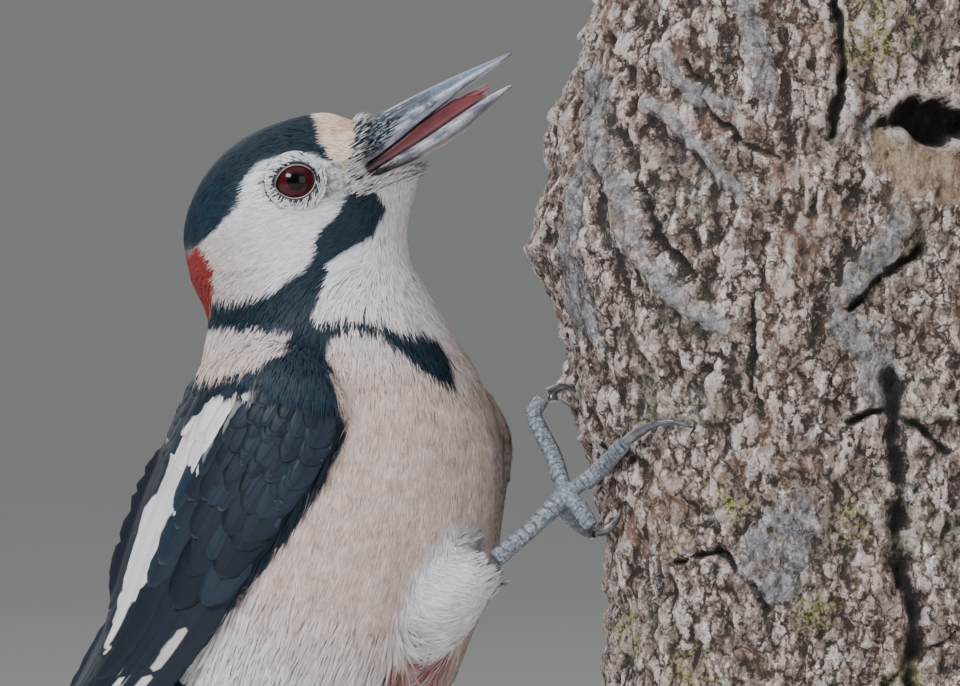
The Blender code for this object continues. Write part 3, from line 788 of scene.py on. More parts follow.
def growSlivers(name, roots, normals, lie, length, width, lift, wander, tree=None, marks=None, free=False):
    # each tuft is a thin three-sided blade that follows the skin, or stands free of it
    tree = tree or skinTree
    count = len(roots)
    across = unit(np.cross(lie, normals))
    lie = unit(lie + across * wander[:, None])
    across = unit(np.cross(lie, normals))
    tips = roots + lie * length[:, None]
    mids = roots + lie * length[:, None] * 0.5
    if free:
        midPlace, midNormal, tipPlace, tipNormal = toWorld(mids), normals, toWorld(tips), normals
    else:
        midPlace, midNormal = nearest(tree, toWorld(mids))
        tipPlace, tipNormal = nearest(tree, toWorld(tips))
    start = roots - normals * 0.12
    middle = toLayout(midPlace) + midNormal * (lift * 0.62)[:, None]
    end = toLayout(tipPlace) + tipNormal * lift[:, None]
    vertices = []
    facing = []
    shares = []
    sides = []
    for place, wide in zip(sliver["stations"], sliver["widths"]):
        spot = (start * (1 - place) * (1 - 2 * place) + middle * 4 * place * (1 - place)
                + end * place * (2 * place - 1))
        normal = unit(normals * (1 - place) + tipNormal * place)
        half = (width * wide * 0.5)[:, None]
        if wide > 0:
            vertices += [spot - across * half, spot + across * half,
                         spot + normal * (sliver["thick"] * wide * width / 0.3)[:, None]]
            facing += [normal - across * 0.3, normal + across * 0.3, normal]
            shares += [place] * 3
            sides += [-1.0, 1.0, 0.0]
        else:
            vertices.append(spot)
            facing.append(normal + lie * 0.2)
            shares.append(place)
            sides.append(0.0)
    per = len(vertices)
    rings = (per - 1) // 3
    vertices = np.stack(vertices, axis=1).reshape(-1, 3)
    facing = unit(np.stack(facing, axis=1).reshape(-1, 3))
    quads = []
    for ring in range(rings - 1):
        low = ring * 3
        for side in range(3):
            after = (side + 1) % 3
            quads.append((low + 3 + side, low + 3 + after, low + after, low + side))
    last = (rings - 1) * 3
    tip = per - 1
    triangles = [(last + 1, last, tip), (last + 2, last + 1, tip), (last, last + 2, tip), (0, 1, 2)]
    offset = (np.arange(count) * per)[:, None, None]
    triangles = (np.array(triangles)[None] + offset).reshape(-1, 3)
    quads = (np.array(quads)[None] + offset).reshape(-1, 4)
    item = arrayMesh(name, toWorld(vertices), triangles, quads, coatMaterial)
    shade = np.repeat(rng.random(count), per)
    # a tuft shows by its outer half, so its colour is read there
    outer = paintMasks(roots + lie * length[:, None] * 0.6)
    masks = {key: np.repeat(values, per) for key, values in outer.items()}
    level, angle, _ = bodyPlace(roots)
    level, angle = np.repeat(level, per), np.repeat(angle, per)
    for key, values in (marks or {}).items():
        masks[key] = np.repeat(values, per)
    giveMarks(item, masks, shade, np.tile(shares, count))
    spread = np.stack((np.tile(sides, count) * 0.0015, (np.tile(shares, count) - 0.5) * 0.003), axis=-1)
    giveMap(item, "OFBake", unwrap(level, angle) + spread)
    item.data.normals_split_custom_set_from_vertices([tuple(each) for each in facing])
    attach(item, "root")
    return item


def makeCoat(name):
    values = coats[name]
    low, high = values["levels"]

    def keep(points):
        level, angle, folded = bodyPlace(points)
        fine = np.interp(level, (-40.0, 0.0, 22.0), (0.7, 1.0, 1.5))
        eyeGap = np.hypot(folded[:, 0] - eyes["place"][0], folded[:, 2] - eyes["place"][1])
        whole = vaned(folded, angle) * underWing * (level < -3.5)
        bare = (eyeGap > 3.1) * (1 - whole) * np.maximum(underWing, rise(-9.0, -6.0, level))
        return (level > low) * (level <= high) * fine * bare

    roots, normals = surfaceSamples(skin, keep, values["count"])
    level, angle, folded = bodyPlace(roots)
    lie = lieOfCoat(roots, normals, level)
    size = 0.75 + rng.random(len(roots)) * 0.5
    near = np.hypot(roots[:, 0] - billRoot[0], roots[:, 2] - billRoot[2])
    small = np.interp(near, (4.0, 14.0), (0.55, 1.0))
    length = values["length"] * size * small
    width = values["width"] * (0.8 + rng.random(len(roots)) * 0.4)
    lift = values["lift"] * (0.45 + rng.random(len(roots)) * 0.75) * small
    wander = rng.normal(0.0, 0.13, len(roots))
    growSlivers(name, roots, normals, lie, length, width, lift, wander)


eyes = {"place": (-28.3, 25.1)}
wingNodes = joinedCopy("wingNodes", ("wing_right", "wing_left"), 0.0)
wingSurface, _ = nearest(treeOf(wingNodes), meshPoints(skin))
underWing = rise(0.00105, 0.0013, np.linalg.norm(wingSurface - meshPoints(skin), axis=1))
bpy.data.objects.remove(wingNodes)
for coatName in coats:
    makeCoat(coatName)
print("soft coat made")


vaneShape = {
    "stations": (0.0, 0.2, 0.42, 0.62, 0.78, 0.9, 0.97, 1.0),
    "columns": (-1.0, -0.55, 0.0, 0.55, 1.0),
    "thick": 0.08,
    "camber": 0.055,
    "rachis": 0.05,
    "frayed": 0.26,
}


def vaneOutline(place, blunt):
    # half width of a feather along its length; blunt is where it begins to round off
    swell = np.clip(place / 0.3, 0.0, 1.0) ** 0.7
    end = np.clip((place - blunt) / (1 - blunt), 0.0, 1.0)
    return np.maximum((0.3 + 0.7 * swell) * np.sqrt(np.maximum(1 - end ** 2.2, 0.0)), 0.06)


def layVanes(name, spots, normals, columns, material, thick):
    # closed thin feathers from grids of places: feather, row, column, xyz
    count, rows, wide, _ = spots.shape
    edge = 1 - np.abs(np.asarray(columns)) * 0.75
    under = spots - normals * (thick * edge)[None, None, :, None]
    vertices = np.concatenate((spots, under), axis=1).reshape(-1, 3)
    number = np.arange(rows * wide).reshape(rows, wide)
    corners = (number[:-1, :-1], number[:-1, 1:], number[1:, 1:], number[1:, :-1])
    a, b, c, d = (part.ravel() for part in corners)
    total = rows * wide
    quads = [np.stack((a, b, c, d), axis=-1), np.stack((d, c, b, a), axis=-1) + total]
    rim = np.concatenate((number[0, :], number[1:, -1], number[-1, -2::-1], number[-2:0:-1, 0]))
    after = np.roll(rim, -1)
    quads.append(np.stack((after, rim, rim + total, after + total), axis=-1))
    quads = np.concatenate(quads)
    offset = (np.arange(count) * total * 2)[:, None, None]
    quads = (quads[None] + offset).reshape(-1, 4)
    item = arrayMesh(name, toWorld(vertices), (), quads, material)
    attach(item, "root")
    return item


def twice(values):
    # the same value for the upper and under side of each feather
    return np.concatenate((values, values), axis=1).reshape(-1)


def finishVanes(item, masks, shade, stations, columns, length, width, roots):
    count = len(length)
    rows, wide = len(stations), len(columns)
    along = np.broadcast_to(np.asarray(stations)[None, :, None], (count, rows, wide))
    across = np.broadcast_to(np.asarray(columns)[None, None, :], (count, rows, wide))
    whole = {key: twice(value) for key, value in masks.items()}
    giveMarks(item, whole, twice(np.broadcast_to(shade[:, None, None], along.shape)), twice(along))
    barbs = np.stack((
        twice(along * length[:, None, None] * 0.1),
        twice(across * width[:, None, None] * 0.5),
        twice(1 - np.abs(across)),
        twice(np.broadcast_to(rng.random(count)[:, None, None], along.shape)),
    ), axis=-1)
    giveColours(item, "barbs", barbs)
    level, angle, _ = bodyPlace(roots)
    home = unwrap(level, angle)[:, None, None, :]
    patch = home + np.stack((across * 0.0015, (along - 0.5) * 0.003), axis=-1)
    giveMap(item, "OFBake", np.concatenate((patch, patch), axis=1).reshape(-1, 2))


def vanePaint(name, dark, sheen, roughness):
    # barbs run off the shaft at a slant; the dark webs have a cold gloss, painted into their colour as a
    # blue sheen
    paint = Paint(name)
    black, red, _, _ = paint.parts("marks")
    brown, _, shade, along = paint.parts("tones")
    down, across, _, chance = paint.parts("barbs")
    fine = paint.noise(1.1, 3.0)
    soft = paint.noise(7.0, 3.0)
    side = across.combine("ABSOLUTE")
    slant = down * 10.0 - side * 0.9 + fine * 0.25
    wave = (slant * (2 * math.pi / 0.3)).sine() * 0.5 + 0.5
    shaft = (1 - side * 5.0).clamp()
    pale = paint.blend((soft * 0.5 + shade * 0.5).clamp(), (0.66, 0.645, 0.68), (0.50, 0.475, 0.485))
    pale = paint.blend((shaft * 0.45 + along.ramp(0.3, 0.0) * 0.4).clamp(), pale, (0.34, 0.32, 0.33))
    # painted shade: pale feathers turn greyer along their sides and tip, as lines between overlapping
    # feathers
    edge = side.ramp(0.72, 1.0) * 0.5 + along.ramp(0.9, 1.0) * 0.35
    pale = paint.blend(edge.clamp(), pale, (0.40, 0.385, 0.41))
    pale = paint.blend((brown * (0.5 + fine * 0.6)).clamp(), pale, plumage["brown"])
    pale = paint.blend(wave * 0.3, pale, (0.40, 0.385, 0.41))
    # painted sheen: the dark webs lighten toward blue by feather and in patches
    deep = paint.blend((shade * 0.7 + fine * 0.35 - 0.1).clamp(), dark, sheen)
    deep = paint.blend((wave * 0.07 + shaft * 0.5).clamp(), deep, (0.003, 0.004, 0.006))
    redTone = paint.blend((shade * 0.6 + fine * 0.5).clamp(), plumage["red"], plumage["redDeep"])
    colour = paint.blend(black.ramp(0.35, 0.65), paint.blend(red, pale, redTone), deep)
    # worn pale rims on some tips
    rim = along.ramp(0.93, 1.0) * chance.ramp(0.45, 0.9) * black * 0.22
    colour = paint.blend(rim, colour, (0.16, 0.19, 0.24))
    rough = roughness + fine * 0.18 - shade * 0.06 + (1 - black) * 0.15
    height = wave * 0.10 + fine * 0.5 + shaft * 0.6
    normal = paint.bump(height, 0.4, 0.09)
    material = paint.finish(Base_Color=colour, Roughness=rough, Normal=normal)
    paint.shader.inputs["Specular IOR Level"].default_value = 0.2
    return material


# each kind: the dark web, and the blue it lightens to as painted sheen
vaneColours = {
    "covert": ((0.0036, 0.0062, 0.0110), (0.0150, 0.0265, 0.0445)),
    "flight": ((0.0036, 0.0050, 0.0085), (0.0115, 0.0175, 0.0295)),
}
covertMaterial = vanePaint("covert", *vaneColours["covert"], 0.42)
flightMaterial = vanePaint("flight", *vaneColours["flight"], 0.42)


wings = {
    "right": {"outward": (-0.612, -0.770, 0.182), "front": (0.673, -0.628, -0.391)},
    "left": {"outward": (-0.30, 0.95, 0.08), "front": (0.80, 0.30, -0.50)},
}
# Where each kind starts and ends (shares of the wing from wrist to tip), how many rows and the size in mm.
coverts = (
    {"start": 0.016, "end": 0.145, "rows": 11, "spacing": 2.6, "length": 6.6, "width": 3.9, "lift": 0.42},
    {"start": 0.135, "end": 0.195, "rows": 3, "spacing": 3.8, "length": 9.6, "width": 5.8, "lift": 0.5},
    {"start": 0.190, "end": 0.235, "rows": 2, "spacing": 5.4, "length": 14.5, "width": 7.6, "lift": 0.55},
)
# Flight feathers: share across at the root and at the tip, share along at the root and tip, width.
flights = {
    "primaries": {
        "count": 9, "width": 6.2, "across": (0.02, 0.40, 0.04, 0.55), "along": (0.24, 0.27, 0.56, 1.0),
    },
    "secondaries": {
        "count": 9, "width": 7.4, "across": (0.20, 0.86, 0.26, 0.90), "along": (0.25, 0.23, 0.55, 0.62),
    },
    "tertials": {
        "count": 4, "width": 9.0, "across": (0.56, 0.94, 0.58, 0.92), "along": (0.22, 0.19, 0.50, 0.42),
    },
}
wingSpots = (
    ((-46.6, -24.2), (-45.4, -24.0), (-45.2, -26.2), (-46.4, -27.9), (-47.0, -26.4)),
    ((-29.6, -26.2), (-26.6, -26.0), (-27.4, -28.4), (-30.0, -30.0)),
    ((-32.2, -30.4), (-30.2, -30.6), (-30.9, -33.2), (-32.4, -34.0)),
    ((-21.9, -16.6), (-21.4, -16.8), (-24.9, -24.2), (-25.5, -24.0)),
    ((-39.9, -43.4), (-38.0, -40.0), (-38.6, -41.8), (-41.6, -44.8)),
    ((-46.6, -52.4), (-41.9, -46.4), (-42.6, -48.4), (-46.4, -53.4)),
    ((-53.4, -53.0), (-50.6, -49.6), (-50.2, -51.0), (-52.4, -53.8)),
    ((-57.2, -53.4), (-54.6, -49.6), (-54.4, -51.2), (-56.4, -54.0)),
)
wingBrown = ((-51.0, -50.0), (-48.6, -46.2), (-45.4, -43.0), (-44.6, -43.6), (-47.0, -47.4), (-49.6, -50.4))


def wingChart(side):
    # the wing's outer face as a grid of places from wrist to tip and from front edge to rear
    values = wings[side]
    outward = unit(np.array(values["outward"]))
    front = np.array(values["front"])
    front = unit(front - outward * (front @ outward))
    down = np.cross(front, outward)
    down = down * -np.sign(down[2])
    node = frame["nodes"]["wing_" + side]
    tree = treeOf(node)
    points = toLayout(meshPoints(node))
    reach = points @ down
    start, end = reach.min() + 0.3, reach.max() - 0.3
    rows, wide = 60, 21
    grid = np.zeros((rows, wide, 3))
    steps = np.arange(-45.0, 45.0, 0.5)
    middle = points.mean(axis=0)
    for row, place in enumerate(np.linspace(start, end, rows)):
        base = middle + down * (place - middle @ down) + outward * 40.0
        hits = []
        for step in steps:
            ray = Vector(toWorld(base + front * step))
            spot, normal, _, _ = tree.ray_cast(ray, Vector(-outward), 0.09)
            if spot is not None and normal.dot(Vector(outward)) > 0.0:
                hits.append(toLayout(np.array(spot)))
        if len(hits) < 2:
            grid[row] = grid[row - 1] if row else hits[0]
            continue
        hits = np.array(hits)
        order = np.argsort(-(hits @ front))
        hits = hits[order]
        share = np.linspace(0, 1, len(hits))
        for axis in range(3):
            grid[row, :, axis] = np.interp(np.linspace(0, 1, wide), share, hits[:, axis])
    for _ in range(6):
        grid[1:-1] = grid[1:-1] * 0.5 + (grid[:-2] + grid[2:]) * 0.25
        grid[:, 1:-1] = grid[:, 1:-1] * 0.5 + (grid[:, :-2] + grid[:, 2:]) * 0.25
    return {"grid": grid, "outward": outward, "front": front, "down": down, "length": end - start}


def chartPlace(chart, along, across):
    # a place on the wing and the way its surface faces, at shares along and across it
    grid = chart["grid"]
    rows, wide, _ = grid.shape
    outAlong = np.clip(along, 0.0, 1.0)
    outAcross = np.clip(across, 0.0, 1.0)

    def sample(one, two):
        y = np.clip(one, 0.0, 1.0) * (rows - 1.001)
        x = np.clip(two, 0.0, 1.0) * (wide - 1.001)
        low, left = np.floor(y).astype(int), np.floor(x).astype(int)
        fy, fx = (y - low)[..., None], (x - left)[..., None]
        upper = grid[low, left] * (1 - fx) + grid[low, left + 1] * fx
        lower = grid[low + 1, left] * (1 - fx) + grid[low + 1, left + 1] * fx
        return upper * (1 - fy) + lower * fy

    spot = sample(outAlong, outAcross)
    step = 0.03
    slopeAlong = sample(outAlong + step, outAcross) - sample(outAlong - step, outAcross)
    slopeAcross = sample(outAlong, outAcross + step) - sample(outAlong, outAcross - step)
    facing = unit(np.cross(slopeAlong, slopeAcross))
    facing = facing * np.sign(facing @ chart["outward"])[..., None]
    spot = spot + unit(slopeAlong) * ((along - outAlong) * chart["length"])[..., None]
    return spot, facing


def chartWidth(chart, along):
    grid = chart["grid"]
    wide = np.linalg.norm(grid[:, 0] - grid[:, -1], axis=-1)
    return np.interp(along, np.linspace(0, 1, len(wide)), wide)


def wingFeathers(chart, laid, blunt, stations, columns):
    # grids of places for feathers that lie along the wing
    stations, columns = np.asarray(stations), np.asarray(columns)
    place = stations[None, :, None]
    over = columns[None, None, :]
    count = len(laid[0])
    # each feather's root and tip along and across the wing, its width, lift and seat
    each = [np.asarray(part)[:, None, None] for part in laid]
    rootAlong, rootAcross, tipAlong, tipAcross, width, lift, seat = each
    along = rootAlong + (tipAlong - rootAlong) * place
    centre = rootAcross + (tipAcross - rootAcross) * place
    worn = rng.random((count, len(stations), len(columns))) ** 4 * vaneShape["frayed"]
    frayed = 1 - worn * (np.abs(over) > 0.9)
    side = over * width * 0.5 * vaneOutline(place, blunt) * frayed
    # the row's edge is pulled toward the tip so that the end is round
    across = centre + side / np.maximum(chartWidth(chart, along), 6.0)
    spot, facing = chartPlace(chart, along, across)
    outside = np.clip(-across, 0, None) - np.clip(across - 1, 0, None)
    spot = spot + chart["front"] * (outside * np.maximum(chartWidth(chart, along), 6.0))[..., None]
    camber = vaneShape["camber"] * width * (1 - over ** 2) * (0.4 + 0.6 * place)
    height = seat + lift * (0.1 + 0.9 * place ** 1.4) + camber
    height = height + vaneShape["rachis"] * (over == 0) + over * 0.12
    return spot + facing * height[..., None], facing


def vaneMasks(spots, side):
    # the coat's own marks, with the wing's white spots added
    count, rows, wide, _ = spots.shape
    masks = paintMasks(spots.reshape(-1, 3))
    _, _, folded = bodyPlace(spots.reshape(-1, 3))
    flat = folded[:, [0, 2]]
    white = masks["white"]
    for outline in wingSpots if side == "right" else wingSpots[4:]:
        white = np.maximum(white, insideOutline(flat, outline, 0.3))
    masks["brown"] = insideOutline(flat, wingBrown, 0.4)
    white = np.maximum(white, masks["brown"])
    masks["black"] = 1 - white
    for name in ("red", "tan", "pink", "grey"):
        masks[name] = np.zeros(count * rows * wide)
    return {key: value.reshape(count, rows, wide) for key, value in masks.items() if value.ndim == 1}


def makeWing(side):
    chart = wingChart(side)
    columns = vaneShape["columns"]
    stations = vaneShape["stations"]
    sets = []
    for kind in coverts:
        for along in np.linspace(kind["start"], kind["end"], kind["rows"]):
            wide = float(chartWidth(chart, along))
            count = max(int(wide / kind["spacing"]), 2)
            across = -0.03 + 1.06 * (np.arange(count) + 0.5 + rng.uniform(-0.22, 0.22, count)) / count
            root = along + rng.uniform(-0.008, 0.008, count)
            size = kind["length"] * rng.uniform(0.85, 1.15, count) / chart["length"]
            ends = across + rng.normal(0.0, 0.012, count)
            width = kind["width"] * rng.uniform(0.88, 1.12, count)
            inner = np.maximum(width * 0.5 - 0.5, 0.0) / max(wide, 6.0)
            across = np.clip(across, inner, 1 - inner)
            ends = np.clip(ends, inner, 1 - inner)
            lift = kind["lift"] * rng.uniform(0.7, 1.15, count)
            sets.append((root, across, root + size, ends, width, lift, np.full(count, -0.55)))
    joined = [np.concatenate(part) for part in zip(*sets)]
    middle, _ = chartPlace(chart, joined[0] * 0.4 + joined[2] * 0.6, joined[1])
    pale = paintMasks(middle)["white"] > 0.5
    joined[2] = joined[2] + pale * (joined[2] - joined[0]) * 0.7
    joined[5] = joined[5] * np.where(pale, 0.7, 1.0)
    spots, facing = wingFeathers(chart, joined, 0.55, stations, columns)
    name = "coatCoverts" + side.title()
    item = layVanes(name, spots, facing, columns, covertMaterial, vaneShape["thick"])
    masks = vaneMasks(spots, side)
    # most coverts take one colour, from their middle
    whiteBand = paintMasks(spots[:, 4, 2])["white"][:, None, None]
    masks["black"] = np.minimum(masks["black"], 1.0) * 0.35 + (1 - whiteBand) * 0.65
    count = len(joined[0])
    finishVanes(item, masks, rng.random(count), stations, columns, (joined[2] - joined[0]) * chart["length"],
                joined[4], spots[:, 0, 2])
    print("coverts", side, count)
    makeFlights(side, chart)


def makeFlights(side, chart):
    stations = np.concatenate((np.linspace(0, 0.9, 26), (0.94, 0.97, 0.99, 1.0)))
    columns = (-1.0, -0.8, -0.5, -0.04, 0.04, 0.5, 0.8, 1.0)
    sets = []
    for order, kind in enumerate(("primaries", "secondaries", "tertials")):
        values = flights[kind]
        count = values["count"]
        share = np.linspace(0, 1, count)
        first, last, firstTip, lastTip = values["across"]
        start, startLast, end, endLast = values["along"]
        width = values["width"] * rng.uniform(0.95, 1.05, count)
        seat = -0.9 + order * 0.28 + share * 0.2
        root = start + (startLast - start) * share
        tip = end + (endLast - end) * share
        inner = (width * 0.5 - 0.4) / np.maximum(chartWidth(chart, root), 8.0)
        across = np.maximum(first + (last - first) * share, inner)
        inner = (width * 0.5 - 0.4) / np.maximum(chartWidth(chart, (root + tip) / 2), 8.0)
        ends = np.maximum(firstTip + (lastTip - firstTip) * share, inner)
        sets.append((root, across, tip, ends, width, np.full(count, 0.55), seat))
    joined = [np.concatenate(part) for part in zip(*sets)]
    spots, facing = wingFeathers(chart, joined, 0.72, stations, columns)
    item = layVanes("flights" + side.title(), spots, facing, columns, flightMaterial, 0.16)
    masks = vaneMasks(spots, side)
    count = len(joined[0])
    # pale bars across the outer webs, in line from feather to feather
    down = (spots - chart["grid"][0, 10]) @ chart["down"] / chart["length"]
    bars = np.zeros(spots.shape[:3])
    for place in (0.66, 0.76, 0.86, 0.945):
        bars = np.maximum(bars, rise(0.018, 0.010, np.abs(down - place)))
    web = np.broadcast_to(np.asarray(columns)[None, None, :] < -0.3, bars.shape)
    masks["black"] = np.minimum(masks["black"], 1 - bars * web)
    finishVanes(item, masks, rng.random(count), stations, columns, (joined[2] - joined[0]) * chart["length"],
                joined[4], spots[:, 0, 3])


for wingSide in wings:
    makeWing(wingSide)
    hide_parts("wing_" + wingSide)
print("wings made")


backFeathers = {
    "spacing": 2.3,
    "candidates": 9000,
    "length": 8.4,
    "width": 4.6,
    "lift": 0.75,
}


def spreadOut(places, spacing):
    # keeps places that lie at least the spacing apart
    kept = []
    for index, place in enumerate(places):
        if not kept or np.min(np.sum((places[kept] - place) ** 2, axis=1)) > spacing[index] ** 2:
            kept.append(index)
    return np.array(kept)


def makeBack():
    def keep(points):
        level, angle, folded = bodyPlace(points)
        return vaned(folded, angle) * underWing * (level < -3.0)

    roots, normals = surfaceSamples(skin, keep, backFeathers["candidates"])
    level, angle, folded = bodyPlace(roots)
    spacing = backFeathers["spacing"] * np.interp(level, (-110.0, -60.0, -10.0), (1.3, 1.15, 0.85))
    kept = spreadOut(roots, spacing)
    roots, normals, level, spacing = roots[kept], normals[kept], level[kept], spacing[kept]
    size = spacing / backFeathers["spacing"] * rng.uniform(0.9, 1.15, len(roots))
    lie = lieOfCoat(roots, normals, level)
    across = unit(np.cross(lie, normals))
    lie = unit(lie + across * rng.normal(0.0, 0.1, len(roots))[:, None])
    across = unit(np.cross(lie, normals))
    stations = np.asarray(vaneShape["stations"])
    columns = np.asarray(vaneShape["columns"])
    length = backFeathers["length"] * size
    width = backFeathers["width"] * size
    place = stations[None, :, None]
    over = columns[None, None, :]
    frayed = 1 - rng.random((len(roots), len(stations), len(columns))) ** 3 * 0.3 * (np.abs(over) > 0.9)
    side = over * width[:, None, None] * 0.5 * vaneOutline(place, 0.5) * frayed
    spots = (roots[:, None, None] + lie[:, None, None] * (length[:, None, None] * place)[..., None]
             + across[:, None, None] * side[..., None])
    flat, facing = nearest(skinTree, toWorld(spots.reshape(-1, 3)))
    facing = unit(facing).reshape(spots.shape)
    height = backFeathers["lift"] * (0.15 + 0.95 * place ** 1.3) - 0.15
    height = height + 0.05 * width[:, None, None] * (1 - over ** 2)
    spots = toLayout(flat).reshape(spots.shape) + facing * height[..., None]
    item = layVanes("coatBack", spots, facing, columns, covertMaterial, vaneShape["thick"])
    masks = paintMasks(spots.reshape(-1, 3))
    grid = spots.shape[:3]
    masks = {key: value.reshape(grid) for key, value in masks.items() if value.ndim == 1}
    for key in ("black", "white"):
        masks[key] = masks[key] * 0.4 + masks[key][:, 4:5, 2:3] * 0.6
    finishVanes(item, masks, rng.random(len(roots)), stations, columns, length, width, roots)
    print("back feathers", len(roots))


makeBack()


tailShape = {
    "root": (-46.6, 0.0, -87.5),
    "swing": 20.0,
    "turn": 12.0,
    "lengths": (76.0, 73.5, 69.0, 62.0, 52.0, 30.0),
    "widths": (7.6, 7.6, 7.4, 7.2, 6.6, 4.6),
    "spread": (1.6, 4.6, 7.4, 9.8, 11.8, 11.0),
}


def makeTail():
    swing, turn = math.radians(tailShape["swing"]), math.radians(tailShape["turn"])
    down = np.array((math.sin(swing) * math.cos(turn), -math.sin(swing) * math.sin(turn), -math.cos(swing)))
    aside = np.array((-math.sin(turn), -math.cos(turn), 0.0))
    upper = np.cross(aside, down)
    root = np.array(tailShape["root"])
    stations = np.concatenate((np.linspace(0, 0.9, 28), (0.94, 0.97, 0.99, 1.0)))
    columns = np.array((-1.0, -0.8, -0.5, -0.05, 0.05, 0.5, 0.8, 1.0))
    grids = []
    for side in (-1, 1):
        for order, length in enumerate(tailShape["lengths"]):
            place = stations[:, None]
            over = columns[None, :]
            frayed = 1 - rng.random((len(stations), len(columns))) ** 4 * 0.2 * (np.abs(over) > 0.9)
            # the tips are stiff and pointed
            half = tailShape["widths"][order] * 0.5 * (0.45 + 0.55 * np.clip(place / 0.2, 0, 1))
            half = half * np.maximum(1 - np.clip((place - 0.62) / 0.38, 0, 1) ** 1.6, 0.07)
            opened = np.sin(np.clip(place * length / 60.0, 0, 1) * math.pi / 2)
            shut = 0.8 + order * 0.7
            middle = side * (shut + (tailShape["spread"][order] - shut) * opened)
            middle = middle * (1 - 0.35 * rise(0.6, 1.0, place) * (order > 1))
            sideways = middle + over * half * frayed
            arch = 2.2 * (1 - 0.5 * place) * (sideways / 13.0) ** 2
            height = 0.75 - 0.3 * order - arch + 0.25 * (1 - over ** 2) + side * over * 0.12
            spot = (root + down * (0.6 + place * length)[..., None] + aside * sideways[..., None]
                    + upper * height[..., None])
            grids.append(spot)
    spots = np.array(grids)
    facing = np.broadcast_to(upper, spots.shape)
    item = layVanes("tailFeathers", spots, facing, columns, flightMaterial, 0.3)
    count = len(spots)
    order = np.tile(np.arange(6), 2)[:, None, None]
    length = np.tile(tailShape["lengths"], 2)
    down = np.broadcast_to(stations[None, :, None], spots.shape[:3]) * length[:, None, None]
    over = np.broadcast_to(columns[None, None, :], spots.shape[:3])
    bars = rise(1.2, 2.2, np.abs((down + over * 2.0) % 9.0 - 4.5))
    white = np.where(order > 2, rise(24.0, 30.0, down) * (1 - bars * (over > -0.9) * 0.9), 0.0)
    blank = np.zeros(spots.shape[:3])
    masks = {"black": 1 - white, "white": white}
    masks.update({key: blank for key in ("red", "tan", "pink", "brown", "grey")})
    width = np.tile(tailShape["widths"], 2)
    finishVanes(item, masks, rng.random(count), stations, columns, length, width, spots[:, 0, 3])
    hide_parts("tail")


makeTail()
print("tail made")


trunk = {
    "centre": (62.0, 5.0),
    "front": 316,             # columns on the side toward the bird and the viewer
    "behind": 90,
    "upper": 290,             # rows beside the bird
    "lower": 72,
    "upperFrom": -58.0,
    "lumps": 2.1,
    "scales": 1.25,
    "grain": 0.62,
    "chunks": 1.7,
    "chips": 1.0,
    "burrSpan": 0.30,
}
# Rolled callus over old wounds: points across and up the face, half width and height.
rolls = (
    (((18.0, 32.7), (19.3, 28.3), (22.4, 21.1), (24.2, 14.4), (27.8, 10.0), (32.2, 6.0), (38.0, 2.0)),
     2.1, 2.7),
    (((27.8, 44.3), (29.5, 40.3), (33.1, 37.6), (37.6, 36.7)), 1.4, 1.9),
    (((26.0, 36.7), (31.3, 31.8), (34.9, 27.8), (39.3, 23.8)), 1.6, 2.2),
    (((40.2, 52.5), (42.5, 44.3), (43.8, 38.5)), 2.2, 1.9),
    (((64.2, 19.0), (58.0, 10.5), (55.4, 7.3)), 2.6, 2.4),
    (((41.8, -34.5), (44.7, -27.6), (49.1, -25.0)), 2.6, 2.0),
    (((45.6, -36.5), (46.4, -31.0), (47.4, -28.0)), 4.4, 1.9),
    (((56.0, 3.0), (60.5, -2.0), (61.0, -8.0)), 3.2, 1.5),
    (((17.4, 40.5), (18.3, 36.6)), 2.8, 1.2),
    (((15.5, 26.0), (14.0, 12.0), (16.5, 2.0)), 2.2, 1.0),
)
# Cracks: points across and up the face, half width and depth.
cracks = (
    (((52.8, 60.0), (53.6, 52.0), (55.4, 45.2), (54.9, 38.5), (53.0, 31.0)), 0.8, 2.6),
    (((41.0, 6.0), (41.1, 0.5), (41.4, -4.0), (40.9, -7.2)), 0.45, 2.2),
    (((67.2, 14.4), (60.3, 10.0), (56.8, 5.4)), 0.7, 2.0),
    (((62.0, -5.3), (63.8, -17.3), (63.8, -30.7), (66.5, -44.0), (65.5, -60.0)), 1.9, 3.8),
    (((56.0, -11.6), (61.5, -10.2), (67.0, -12.9), (71.4, -16.4)), 0.7, 2.2),
    (((74.6, -43.4), (68.0, -46.6), (61.6, -52.2)), 0.45, 1.6),
    (((29.8, -33.6), (33.0, -32.8), (36.2, -31.2), (41.0, -36.0), (43.6, -41.0)), 0.6, 1.8),
    (((30.5, 43.0), (34.6, 35.6), (38.0, 31.0), (44.8, 28.0)), 0.5, 1.5),
    (((20.4, 47.0), (23.6, 38.0), (22.0, 30.0), (26.6, 17.0), (33.0, 9.4)), 0.6, 1.7),
)
# Moss: place across and up the face, and size.
mosses = ((60.8, 47.4, 5.6), (32.2, -49.8, 3.6), (57.6, -27.2, 3.2), (50.8, -41.4, 3.4), (24.0, -44.0, 3.4),
          (37.5, -24.0, 3.0), (66.0, -52.0, 4.0), (30.0, -31.0, 2.6))
hollow = {"place": (70.5, 34.0), "size": (7.6, 3.3), "depth": 8.0}
# Knobs on the edge toward the bird: height, half width and how far they stand out.
edgeBumps = ((14.2, 2.1, 1.8), (33.4, 2.6, 1.0), (26.3, 1.6, -0.9), (3.4, 2.2, -0.8), (-7.4, 2.4, 2.2),
             (44.0, 2.2, -0.6), (-28.0, 2.6, 1.0), (-40.5, 2.0, -0.8))


def lineDistance(flat, line):
    # distance to a bent line, and how far along it
    best = np.full(len(flat), 1e9)
    for first, second in zip(line[:-1], line[1:]):
        first, second = np.array(first), np.array(second)
        way = second - first
        share = np.clip((flat - first) @ way / (way @ way), 0.0, 1.0)
        best = np.minimum(best, np.linalg.norm(flat - first - share[:, None] * way, axis=1))
    return best


